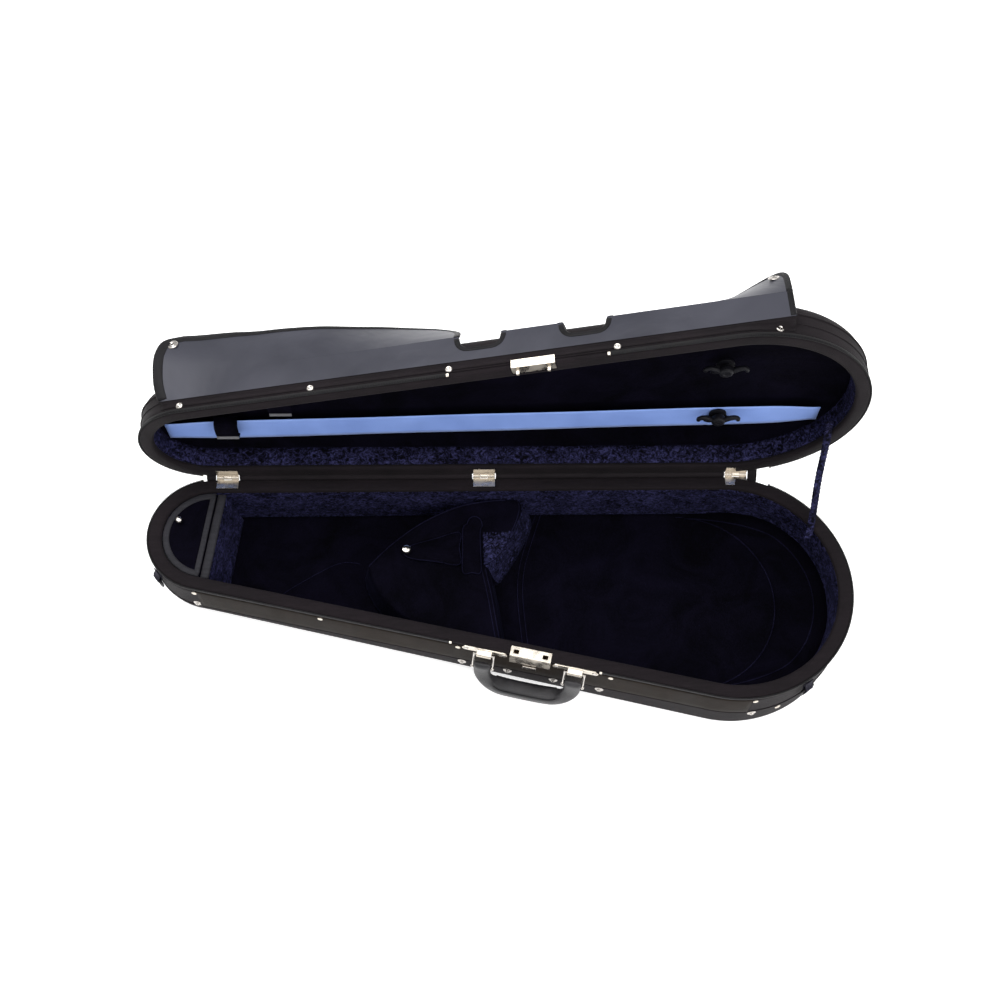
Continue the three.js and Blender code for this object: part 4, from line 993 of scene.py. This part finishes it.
# the bow spinners: two curled horns on a hub, over a stepped plate
FACE = 25.6                                # height of the lid panel's face there
HORN = [(-21.6, 1.5), (-21.8, -2.5), (-18, -4.9), (-12.5, -3.6), (-6, 0.2), (0, 1.6)]
HORN += [(-x, y) for x, y in HORN[-2::-1]]
HUB = [(7.2, 5.2), (7.6, 5.8), (7.6, 11.0), (7.0, 12.4), (5.2, 13.2), (2.6, 13.4), (2.2, 12.9), (0.05, 12.9)]
for name, at in [("rear", (276.0, 12.0)), ("front", (268.0, -84.0))]:
    C = raised(curve(HORN, 1.8) + at, FACE - 8.6)
    A, B = frames(C, (0, 0, 1))
    end = np.abs(np.linspace(-1, 1, len(C)))
    thick = np.sqrt(np.clip(1 - np.clip((end - 0.93) / 0.085, 0, 1) ** 2, 0.03, 1)) * (3.5 - 1.0 * end)
    horns = sweep(f"spinner_{name}_horns", C, A, B, oval(1, 0.95, 14), PLASTIC, f"bow_spinner_{name}", True,
                  scale=thick)
    out_of_lid = lid_open([(0, 0, -1)])[0] - lid_open([(0, 0, 0)])[0]
    hub = lathe(f"spinner_{name}_hub", HUB, lid_open([(*at, FACE)])[0], out_of_lid, PLASTIC, n=26)
    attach(hub, f"bow_spinner_{name}")
    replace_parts(joined(f"spinner_{name}_horns", [horns, hub]), f"bow_spinner_{name}")
    for step, (w, y0, y1, z0, z1) in enumerate([(13, 4.5, 14.5, 0.2, -2.0), (11.5, 5.5, 13.2, -2.0, -3.6)]):
        plate = curve([(-w, y0 + 2), (-w + 2, y0), (w - 2, y0), (w, y0 + 2), (w, y1 - 2), (w - 2, y1),
                       (2 - w, y1), (-w, y1 - 2)], 1.5, True)
        middle = plate.mean(0)
        rows = [raised(middle + (plate - middle) * part + at, FACE + z)
                for part, z in [(1, z0), (1, z1 + 0.5), (0.97, z1 + 0.12), (0.92, z1)]]
        bar(f"spinner_{name}_plate_{step}", np.stack(rows), PLASTIC, "lid", True)

# ---------- front wall ----------
MIDDLE, NORMAL = (v[0] for v in outline(0))
ALONG = np.array([math.cos(TURN), math.sin(TURN)])


def front(s, out, z):
    """Points by the straight front wall's own directions."""
    return local_points(MIDDLE, ALONG, NORMAL, s, out, z)


def wall_strip(name, ds, section, material, body, lid=False, ripple=0.0):
    """A strip along the wall; section gives (out, z) pairs."""
    V = np.stack([wall(ds, out, z) for out, z in section])
    uv = grid_uv(ds, V[..., 2])
    if ripple:
        V[..., :2] += outline(ds)[1] * (ripple * rough(V, 22, 12, 2)).reshape(len(section), -1)[..., None]
    return make(name, V, strip_faces(*V.shape[:2]), material, body, lid, uv)


section = [(0.1, 40.2), (0.8, 40.6), (1.3, 42.5), (1.5, 52), (1.5, 66), (1.3, 77), (0.9, 80.4), (0.1, 81.1),
           (0.05, 60)]
panel = wall_strip("front_satin_panel", np.linspace(-286, 333, 125), section, SATIN, "base",
                   ripple=0.12)
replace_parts(panel, "front_panel")
CORD_Z = 39.6
piping("front_panel_cord", 0.5, CORD_Z, 0.85, "base", ds=np.linspace(-292, 335, 120))
for name, at in [("end", 333.4), ("start", -286.6)]:
    upright = wall(np.full(12, at), 0.7, np.linspace(CORD_Z, 80.6, 12))
    tube(f"front_panel_{name}_cord", upright, 0.8, COVER, "base", hint=(1, 0, 0))
piping("base_wall_cord", 0.2, CORD_Z, 0.85, "base", ds=np.linspace(336, TOTAL - 290, 240))
piping("base_rim_cord", 0.1, RIM - 6.0, 0.9, "base", material=RIM_CLOTH)
piping("lid_rim_cord", 0.1, 6.6, 0.9, "lid", True, material=RIM_CLOTH)
piping("lid_wall_cord", 0.2, 19.0, 0.8, "lid", True)
piping("lid_edge_cord", 0.1, 31.0, 1.3, "lid", True)

# ---------- zip halves ----------
CUBE = ((0, 1, 3, 2), (4, 6, 7, 5), (0, 4, 5, 1), (2, 3, 7, 6), (0, 2, 6, 4), (1, 5, 7, 3))


def blocks(name, at, z, sizes, material, body, lid):
    """A small block on the wall at each distance; sizes are its ends along, out from and up the wall."""
    P, N = outline(at)
    T = np.column_stack([-N[:, 1], N[:, 0]])
    corners = [(a, o, h) for a in sizes[0] for o in sizes[1] for h in sizes[2]]
    V = np.stack([raised(P + T * a + N * o, z + h) for a, o, h in corners], 1)
    F = [tuple(8 * i + j for j in face) for i in range(len(P)) for face in CUBE]
    return make(name, V, F, material, body, lid, smooth=False)


def zip_half(name, start, end, sign, z, body, lid=False):
    """Tape, coil teeth and end stops; sign points from the teeth towards the tape. Returns the tape."""
    section = [(0.2, 0), (0.9, 0), (1.0, 0.5), (1.0, 4.2), (0.8, 4.8), (0.2, 4.9)]
    tape = wall_strip(f"{name}_tape", np.linspace(start, end, int(abs(end - start) / 4)),
                      [(out, z + up * sign) for out, up in section], ZIP, body, lid)
    blocks(f"{name}_teeth", np.arange(start + 3, end - 3, 1.7), z,
           ((-0.55, 0.55), (0.7, 1.7), (-0.1 * sign, 2.2 * sign)), BINDING, body, lid)
    stop = ((-1.3, 1.3), (0.6, 2.0), (-0.3 * sign, 3.0 * sign))
    joined(f"{name}_stops", [blocks(f"{name}_stop_{i}", d, z, stop, NICKEL, body, lid)
                             for i, d in enumerate((start + 1.2, end - 1.2))])
    return tape


WIDE_ZIP = (166.0, SPAN + WIDE_R * (math.pi + 2 * TAPER - math.radians(24)))
NARROW_ZIP = (-SPAN - NARROW_R * (math.pi - 2 * TAPER - math.radians(10)), 3.0)
for name, ends in (("wide", WIDE_ZIP), ("narrow", NARROW_ZIP)):
    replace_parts(zip_half(f"lid_zip_{name}", *ends, 1, 1.0, "lid", True), f"lid_zip_{name}")
    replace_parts(zip_half(f"base_zip_{name}", *ends, -1, HINGE_Z - 1.0, "base"), f"base_zip_{name}")

# ---------- flap ----------
FOLD_OUT, FOLD_H, FLAP_W = 4.5, 15.0, 87.0
FLAP_FROM, FLAP_TO = -312.0, 352.0
CREASE = 34.0                              # past here the cloth bends back over the lid's edge
CLOSING, CREASE_BEND = (j["range_deg"][1] for name in ("flap_fold", "flap_bend") for j in frame["joints"]
                        if j["name"] == name)
UNTWIST = 70.0
TWIST_FROM, TWIST_TO = -200.0, -540.0      # the narrow end turns less than the rest, increasingly from here
DRAPE_FROM, DRAPE_TO = -200.0, 180.0       # the bend at the crease sets in between these
BENT_TO, STIFF_FROM = 215.0, 420.0         # and fades out between these, towards the wide corner
HALF = 0.6                                 # half the cloth's thickness


def lean(s, t):
    """The flap's slope in radians: 0 is straight out of the wall, 90 degrees towards the lid's top."""
    bend = np.where(s < 30, ease((s - DRAPE_FROM) / (DRAPE_TO - DRAPE_FROM)),
                    1 - ease((s - BENT_TO) / (STIFF_FROM - BENT_TO)))
    twist = ease((TWIST_FROM - s) / (TWIST_FROM - TWIST_TO))
    past = t - CREASE
    closed = np.where(past > 0, -91 + 13 * past / (FLAP_W - CREASE) - 4 * bend * (1 - ease(past / 8)),
                      -91 + 2 * t / CREASE + 6 * bend * ease((t - 27) / 7))
    closed = closed + ease((-230 - s) / 80) * (20 * t / FLAP_W - 4)
    return np.radians(closed + CLOSING - UNTWIST * twist + CREASE_BEND * bend * (past > 0))


# how each part of the flap is placed: the tongue rides on the flap tip's body, the other parts are baked where
# they lie
def bend_root(piece):
    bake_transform(piece)


def bend_drape(piece):
    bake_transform(piece)


def bend_tongue(piece):
    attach(piece, "flap_tip")


def bend_tip(piece):
    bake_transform(piece)


def flap_place(flat, h):
    """Follows the flap's slope from its fold to points (s, t) of the cloth, at height h above its middle."""
    s, t = flat[:, 0], flat[:, 1]
    steps = 18
    out, up = np.zeros(len(s)), np.zeros(len(s))
    for low, high in ((0 * t, np.minimum(t, CREASE)), (np.minimum(t, CREASE), t)):
        for i in range(steps):
            a = lean(s, low + (high - low) * (i + 0.5) / steps + 1e-6)
            out += np.cos(a) * (high - low) / steps
            up += np.sin(a) * (high - low) / steps
    a = lean(s, t)
    free = np.where(s > 30, np.clip((t - CREASE) / (FLAP_W - CREASE), 0, 1), (t / FLAP_W) ** 1.5)
    wave = free * (1.4 * np.sin(s / 47) + 1.2 * rough(np.column_stack([s, t, t * 0]), 90, 15, 2))
    out += np.sin(a) * (h + wave)
    up -= np.cos(a) * (h + wave)
    return front(s, FOLD_OUT + out, FOLD_H + up)


def evenly(points, step=4.0):
    """Points every `step` along a path, and their distances along it."""
    points = np.asarray(points, float)
    run = run_along(points)
    at = np.linspace(0, run[-1], max(2, int(run[-1] / step)))
    return np.column_stack([np.interp(at, run, points[:, i]) for i in (0, 1)]), at


def edge_binding(name, edge, section, body=None, broad=1.0, uv=None):
    """Binding along an edge of the flap; section gives (inwards, height) pairs."""
    direction = unit(np.gradient(edge, axis=0))
    into = np.column_stack([direction[:, 1], -direction[:, 0]]) * broad
    V = np.stack([flap_place(edge + into * inward, h) for inward, h in section], 1)
    return bar(name, V, BINDING, body, True, uv)


def flap_part(name, edge, inner, pull):
    """One part of the flap: its bound edge, and the inner line that closes its outline."""
    edge, run = evenly(edge)
    flat, F = filled(np.vstack([edge, inner]), 6.0)
    cloth = slab(name, flat, F, lambda p, h: flap_place(p, h - HALF), 2 * HALF, PVC, None, True,
                 COVER)
    cloth.data.set_sharp_from_angle(angle=math.radians(50))
    section = [(5.6, HALF + 0.1), (5.2, HALF + 0.5), (2.5, HALF + 0.65), (0.2, HALF + 0.55), (-0.7, HALF),
               (-0.9, 0), (-0.7, -HALF), (0.2, -HALF - 0.5), (2.5, -HALF - 0.6), (5.2, -HALF - 0.45),
               (5.6, -HALF - 0.05)]
    broad = (1 + 0.7 * ease((-190 - edge[:, 0]) / 100))[:, None]
    uv = grid_uv(run[:, None], np.array([inward * 1.5 + h for inward, h in section]))
    binding = edge_binding(f"{name}_binding", edge, section, None, broad, uv)
    for piece in (cloth, binding):
        pull(piece)
    return cloth


NOTCH = [(-0.5, 34), (1.0, 24), (6, 18), (16, 17.2), (28, 17.2), (38, 18), (43, 24), (44.5, 34)]
root_edge = np.vstack([
    curve([(FLAP_FROM, 0), (FLAP_FROM - 5, 20), (FLAP_FROM - 7, 44), (FLAP_FROM - 6, 62),
           (FLAP_FROM, FLAP_W - 9), (FLAP_FROM + 18, FLAP_W)], 3), [(-280, FLAP_W), (DRAPE_FROM, FLAP_W)]])
behind = evenly([(DRAPE_FROM, FLAP_W), (DRAPE_FROM, CREASE), (13.5, CREASE)], 5)[0][1:]
first = curve([(14 + x, t) for x, t in NOTCH], 3)[1:]
between = evenly([(60, CREASE), (120, CREASE)], 5)[0]
second = curve([(123 + x, t) for x, t in NOTCH], 3)
last = evenly([(170, CREASE), (FLAP_TO, CREASE)], 5)[0]
fold_line = evenly([(FLAP_TO, 0), (FLAP_FROM, 0)], 5)[0][:-1]
root = flap_part("flap_cloth", root_edge, np.vstack([behind, first, between, second, last, fold_line]),
                 bend_root)
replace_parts(root, "flap", "flap_end")


def edge_band(name, edge):
    """Binding alone, along another bound edge of the root part."""
    section = [(5.2, HALF + 0.1), (4.8, HALF + 0.5), (0.2, HALF + 0.55), (-0.8, 0), (0.2, -HALF - 0.5),
               (4.8, -HALF - 0.45), (5.2, -HALF - 0.05)]
    edge_binding(name, evenly(edge, 3)[0], section, "flap")


edge_band("flap_notch_binding_left", first[:-1])
edge_band("flap_notch_binding_right", second[1:-1])
edge_band("flap_corner_binding", [(FLAP_TO, CREASE), (FLAP_TO, 1)])
SEAM = CREASE + 0.05                       # the parts past the crease begin clear of the root
flap_part("flap_drape_cloth", np.vstack([
    [(DRAPE_FROM, FLAP_W), (-24, FLAP_W)],
    curve([(-14, FLAP_W - 0.5), (0, FLAP_W - 8), (9, 64), (12.5, 48), (13.5, SEAM)], 3)]),
    evenly([(13.5, SEAM), (DRAPE_FROM, SEAM), (DRAPE_FROM, FLAP_W)], 5)[0][1:-1], bend_drape)
tongue = flap_part("flap_tongue_cloth", np.vstack([
    [(58.5, SEAM), (58.5, 70)],
    curve([(58.8, 75), (60.5, FLAP_W - 5), (66, FLAP_W - 0.5), (72, FLAP_W)], 3), [(108, FLAP_W)],
    curve([(112, FLAP_W), (118, FLAP_W - 2.5), (121.5, FLAP_W - 10), (122, 70)], 3), [(122, SEAM)]]),
    evenly([(122, SEAM), (58.5, SEAM)], 5)[0][1:-1], bend_tongue)
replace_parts(tongue, "flap_tongue")
tip = flap_part("flap_tip_cloth", np.vstack([
    [(168.5, SEAM), (168.5, 70)],
    curve([(169, 75), (171, FLAP_W - 5), (177, FLAP_W - 0.5), (184, FLAP_W)], 3), [(FLAP_TO - 30, FLAP_W)],
    curve([(FLAP_TO - 20, FLAP_W), (FLAP_TO - 7, FLAP_W - 5), (FLAP_TO - 1, 70), (FLAP_TO, 54)], 3),
    [(FLAP_TO, SEAM)]]),
    evenly([(FLAP_TO, SEAM), (168.5, SEAM)], 5)[0][1:-1], bend_tip)
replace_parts(tip, "flap_tip")

# the strip that joins it to the lid's wall
ds = np.linspace(FLAP_FROM, FLAP_TO, 134)
foot = wall(ds, 1.6, 12.5)
fold = front(ds, FOLD_OUT - 0.2, FOLD_H + 0.2)
rows = [wall(ds, 0.2, 8.5), wall(ds, 0.9, 8.5), wall(ds, 1.3, 10.5), foot,
        foot * 0.55 + fold * 0.45 + (0, 0, -0.3), fold, front(ds, FOLD_OUT - 0.6, FOLD_H + 1.0), wall(ds, 0.7, 14.5), wall(ds, 0.2, 14.0)]
bar("flap_seam_strip", np.stack(rows, 1), COVER, "lid", True)


def flap_disc(name, s, t, pull, radius=6.2):
    """A press-stud cap set in the flap."""
    at, beside = (lid_open(flap_place(np.array([[s, t]]), HALF + h))[0] for h in (0.3, 1.3))
    ring = lathe(name, turned(SOCKET, radius), at, beside - at, CHROME, n=30)
    dish = [(radius * 0.3, 0.9), (radius * 0.28, 1.15), (0.05, 1.15)]
    eye = lathe(name + "_eye", dish, at, beside - at, BINDING)
    disc = joined(name, [ring, eye])
    pull(disc)
    return disc


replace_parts(flap_disc("flap_socket_wide_ring", 338, 72, bend_tip), "flap_socket_wide")
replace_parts(flap_disc("flap_socket_narrow_ring", -303, 71, bend_root), "flap_socket_narrow")
flap_disc("flap_socket_tongue_left", 74, 70, bend_tongue, 5.2)
flap_disc("flap_socket_tongue_right", 106, 70, bend_tongue, 5.2)

# ---------- rivets and press-studs ----------
def rivet(name, d, z, profile, material, lid, out):
    """A turned piece that points out of the wall."""
    (at,), (tip,) = wall(d, out, z), wall(d, out + 1, z)
    if lid:
        at, tip = lid_open([at, tip])
    return lathe(name, profile, at, tip - at, material, n=24)


def plated(name, pieces, body):
    """Joins small turned pieces that ride on one body."""
    piece = joined(name, pieces)
    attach(piece, body)
    return piece


def group_of(name, places, profile, material, body, out, lid=False):
    """Rivets or studs at (distance, height) places on the wall."""
    made = [rivet(f"{name}_{i}", d, z, profile, material, lid, out) for i, (d, z) in enumerate(places)]
    return plated(name, made, body)


CAP = [(3.6, -0.6), (4.1, -0.2), (4.1, 0.3), (3.6, 0.9), (2.6, 1.25), (1.9, 1.2), (1.6, 0.75), (0.9, 0.7),
       (0.05, 1.1)]
CORNER = SPAN + WIDE_R * math.radians(34)
lower = [(-291, 45), (14, 32), (66, 32), (118, 32), (170, 32), (340, 33)]
studs = group_of("base_press_studs", lower, turned(STUD, 5.0), CHROME, "base", 0.1)
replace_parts(studs, "base_stud_wide", "base_stud_narrow")
upper = [(-289, 76), (-145, 76), (10, 76), (179, 76), (336, 76)]
group_of("base_rivets", upper, dome(2.9, 1.3), NICKEL, "base", 1.1)
group_of("base_corner_rivet", [(CORNER, 30)], dome(3.4, 1.4), NICKEL, "base", 0.1)
caps = [(-290, 9.6), (-145, 9.8), (3, 10.0), (176, 10.2), (336, 10.4)]
group_of("lid_caps", caps, CAP, CHROME, "lid", 1.0, True)

# ---------- handle ----------
HANDLE_AT, HANDLE_HALF = 90, 9.2           # its middle along the front wall, and half its width
SIDES = 26                                 # points round the grip
half_path = [(-50, 75, 14.6), (-50.2, 64, 14.4), (-49.6, 53, 15.4), (-46.5, 44.5, 17.0), (-40, 37, 18.3),
             (-30, 32.4, 19.0), (-17, 30.6, 19.2), (0, 30.2, 19.2)]
path = curve(half_path + [(-a, z, o) for a, z, o in half_path[-2::-1]], 2.5)
outwards = np.array([*NORMAL, 0.0])
C = front(path[:, 0] + HANDLE_AT, path[:, 2], path[:, 1])
T = unit(np.gradient(C, axis=0))
A = unit(np.cross(T, outwards))
A *= np.sign(A[len(A) // 2, 2])
B = np.cross(T, A)
B *= np.sign((B @ outwards)[:, None])
run = run_along(C)
near_end = np.minimum(run, run[-1] - run)
round_off = np.sqrt(np.clip(1 - np.clip(1 - near_end / 5.5, 0, 1) ** 2, 0.02, 1))
grip = ease((near_end - 22) / 34)          # the grip is fuller in the middle than at its ends
depth = 4.2 + 4.9 * grip
inner_half = HANDLE_HALF * (1 - 0.24 * grip)
rows = []
for x, y in oval(1, 1, SIDES):
    u = np.sign(x) * abs(x) ** 0.62 * (inner_half if x > 0 else HANDLE_HALF)
    v = np.sign(y) * abs(y) ** 0.62 * depth * round_off
    rows.append(C + A * np.broadcast_to(u, len(C))[:, None] + B * v[:, None])
handle = bar("handle_leather", np.stack(rows, 1), HANDLE, "handle",
             uv=grid_uv(run[:, None], np.linspace(0, 50, SIDES)))
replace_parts(handle, "handle")
keep = slice(16, len(C) - 16)
for i, sign in enumerate((-1, 1)):
    welt = C + A * (inner_half - 0.5)[:, None] + B * (sign * depth * 0.86)[:, None]
    tube(f"handle_welt_{i}", welt[keep], 0.55, BINDING, "handle", hint=(*NORMAL, 0.3))
BEAD = [(0.05, -2.3), (1.6, -1.9), (2.3, -0.7), (2.3, 0.7), (1.6, 1.9), (0.05, 2.3)]
for i, s in enumerate((40, 140)):
    plated(f"handle_bracket_rivets_{i}", [lathe(f"bracket_rivet_{i}_{j}", dome(2.7, 0.7), at, outwards, CHROME)
                                          for j, at in enumerate(front([s - 21, s + 21], 1.9, 80))], "base")
    plated(f"bail_beads_{i}", [lathe(f"bail_bead_{i}_{j}", BEAD, at, (*ALONG, 0), CHROME, n=16)
                               for j, at in enumerate(front([s - 10.8, s + 10.8], 14, 65))], "handle_bails")

# ---------- shoulder-strap rings ----------
RING_SHAPE = curve([(-7, 64), (0, 64), (7, 64), (7.2, 57), (5.4, 50.5), (0, 47.2), (-5.4, 50.5), (-7.2, 57)],
                   1.2, True)
TAB_PATH = curve([(0.7, 79.5), (0.8, 72), (1.0, 66.5), (2.4, 61.6), (4.4, 60.8), (6.4, 62.6), (6.4, 65.6),
                  (4.2, 69), (2.6, 74), (2.2, 79.5)], 1.2)
TAB_SECTION = [(-5, 0), (-4.8, 0.45), (0, 0.55), (4.8, 0.45), (5, 0), (4.8, -0.45), (0, -0.55), (-4.8, -0.45)]
for place, d in (("wide", SPAN + WIDE_R * math.radians(46)), ("narrow", -SPAN - NARROW_R * math.radians(40))):
    (p,), (normal,) = outline(d)
    t = np.array([-normal[1], normal[0]])
    wire = local_points(p, t, normal, RING_SHAPE[:, 0], 4, RING_SHAPE[:, 1])
    ring = tube(f"strap_ring_{place}_wire", wire, 1.5, PLASTIC, f"strap_ring_{place}", hint=(*normal, 0),
                closed=True)
    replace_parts(ring, f"strap_ring_{place}")
    C = local_points(p, t, normal, 0, TAB_PATH[:, 0], TAB_PATH[:, 1])
    A = np.array([*t, 0.0])
    B = np.cross(unit(np.gradient(C, axis=0)), A)
    band = sweep(f"strap_tab_{place}_webbing", C, A, B, TAB_SECTION, WEBBING, "base")
    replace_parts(band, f"strap_tab_{place}")

# ---------- stay strap ----------
def at_wide_end(reach, angle, z):
    """A point inside the wide end, `reach` from its centre."""
    angle = math.radians(angle)
    return np.array([*(WIDE + reach * np.array([math.cos(angle), math.sin(angle)])), z])


foot = at_wide_end(110, 31, RIM - 8)
head = lid_open([at_wide_end(111, 19, 9)])[0]
share = np.linspace(0, 1, 120)
C = foot + (head - foot) * share[:, None]
C[:, 0] += 0.6 * np.sin(share * 9)
T = (head - foot) / np.linalg.norm(head - foot)
B = unit(np.cross(T, (1, 0.25, 0)))
A = np.cross(B, T)
bumpy = 1 + 0.07 * np.sin(share * 190) + 0.05 * rough(C, 7, 11, 2)
STAY = [(-4.5, 0), (-4.2, 0.7), (-2.2, 1.0), (0, 0.8), (2.2, 1.0), (4.2, 0.7), (4.5, 0), (4.2, -0.7), (0, -0.9),
        (-4.2, -0.7)]
stay = sweep("stay_strap_velvet", C, A, B, STAY, PLUSH_PAINTED_SHEEN, None, scale=bumpy)
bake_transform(stay)
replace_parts(stay, "stay_strap")

# ---------- the cover's hinge strip, between the three hinges ----------
STRIP_SPANS = [(-300, -289.4), (-262.6, 4.4), (31.6, 296.6), (323.4, 334)]
NORMALS = np.array([[0, 1, 0]] * 3 + [[0, 0.7, -0.7]] + [[0, 0, -1]] * 3)[:, None]
for i, (x0, x1) in enumerate(STRIP_SPANS):
    ds = WIDE_END + SPAN - np.linspace(x0, x1, max(4, int((x1 - x0) / 6)))
    crook = (wall(ds, 0.5, 87.2) + lid_open(wall(ds, 0.5, 0.9))) / 2 + (0, -0.6, 0.2)
    V = np.stack([*(wall(ds, 0.4, z) for z in (79, 84, 87)), crook,
                  *(lid_open(wall(ds, 0.4, z)) for z in (1, 4, 8))])
    V = np.concatenate([V, (V + NORMALS * 0.5)[::-1]])
    strip = make(f"hinge_strip_{i}", V, strip_faces(*V.shape[:2]), COVER, None)
    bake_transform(strip)

# ---------- CAD pieces that stay, with eased edges ----------
BOARD = grain("shell_board", (0.20, 0.12, 0.06), (0.34, 0.22, 0.12), 0.8, 90, 0.2)
FINISH = {
    NICKEL: ["lock_case", "striker_plate", "handle_bracket_left", "handle_bracket_right",
             *(f"hinge_{half}_leaf_{place}" for half in ("base", "lid") for place in PLACES)],
    CHROME: ["lock_slider", "handle_bail_left", "handle_bail_right", "neck_pocket_knob", "scroll_pocket_knob",
             *(f"hinge_pin_{place}" for place in PLACES)],
    PLASTIC: ["bow_spinner_foot_rear", "bow_spinner_foot_front"],
    BOARD: ["base_shell", "lid_shell"],
}
for material, names in FINISH.items():
    for name in names:
        obj = frame["nodes"][name]
        if obj.data.has_custom_normals:
            with bpy.context.temp_override(object=obj, active_object=obj, selected_objects=[obj]):
                bpy.context.view_layer.objects.active = obj
                bpy.ops.mesh.customdata_custom_splitnormals_clear()
        obj.data.polygons.foreach_set("use_smooth", [True] * len(obj.data.polygons))
        obj.data.materials.clear()
        obj.data.materials.append(material)
        obj.modifiers.new("weld", "WELD").merge_threshold = 1e-5
        bevel = obj.modifiers.new("bevel", "BEVEL")
        bevel.width, bevel.segments = 0.0003, 2
        bevel.limit_method, bevel.angle_limit = "ANGLE", math.radians(30)
        obj.modifiers.new("normals", "WEIGHTED_NORMAL")


# ---------- floor, light ----------
def area_light(name, at, aim, size, power):
    """A soft rectangular light, turned towards `aim`."""
    light = bpy.data.lights.new(name, "AREA")
    light.shape, light.size, light.size_y = "RECTANGLE", *size
    light.energy = power
    obj = bpy.data.objects.new(name, light)
    direction = Vector(aim) - Vector(at)
    obj.matrix_world = Matrix.Translation(at) @ direction.to_track_quat("-Z", "Y").to_matrix().to_4x4()
    bpy.context.scene.collection.objects.link(obj)


paper = Paint("pale_floor", (0.90, 0.90, 0.90), 0.9, Emission_Color=(1, 1, 1, 1), Emission_Strength=0.6)
speck = paper.noise(paper.coords(), 6.0, 2.0)
paper.put(paper.shader, Base_Color=paper.ramp(speck, [(0.3, grey(0.89)), (0.7, grey(0.91))]))
mesh = bpy.data.meshes.new("pale_floor")
mesh.from_pydata([(x, y, -0.0005) for x, y in ((-6, -6), (6, -6), (6, 6), (-6, 6))], [], [(0, 1, 2, 3)])
mesh.materials.append(paper.material)
floor_obj = bpy.data.objects.new("pale_floor", mesh)
bpy.context.scene.collection.objects.link(floor_obj)

area_light("key", (-0.9, 0.9, 2.3), (0, 0, 0.1), (1.6, 1.2), 34)
area_light("fill", (1.6, -1.4, 1.7), (0, 0, 0.1), (1.8, 1.4), 22)
area_light("top", (0.1, -0.2, 2.8), (0, 0, 0), (2.2, 1.6), 26)
world = bpy.data.worlds.new("studio")
world.use_nodes = True
nodes, links = world.node_tree.nodes, world.node_tree.links
height = nodes.new("ShaderNodeSeparateXYZ")
links.new(nodes.new("ShaderNodeTexCoord").outputs["Generated"], height.inputs[0])
sky = nodes.new("ShaderNodeValToRGB")
for stop, at, value in zip(sky.color_ramp.elements, (0.12, 0.62), (0.75, 1)):
    stop.position, stop.color = at, (*grey(value), 1)
links.new(height.outputs["Z"], sky.inputs[0])
links.new(sky.outputs[0], nodes["Background"].inputs[0])
nodes["Background"].inputs[1].default_value = 0.85
bpy.context.scene.world = world
bpy.context.scene.view_settings.view_transform = "Standard"
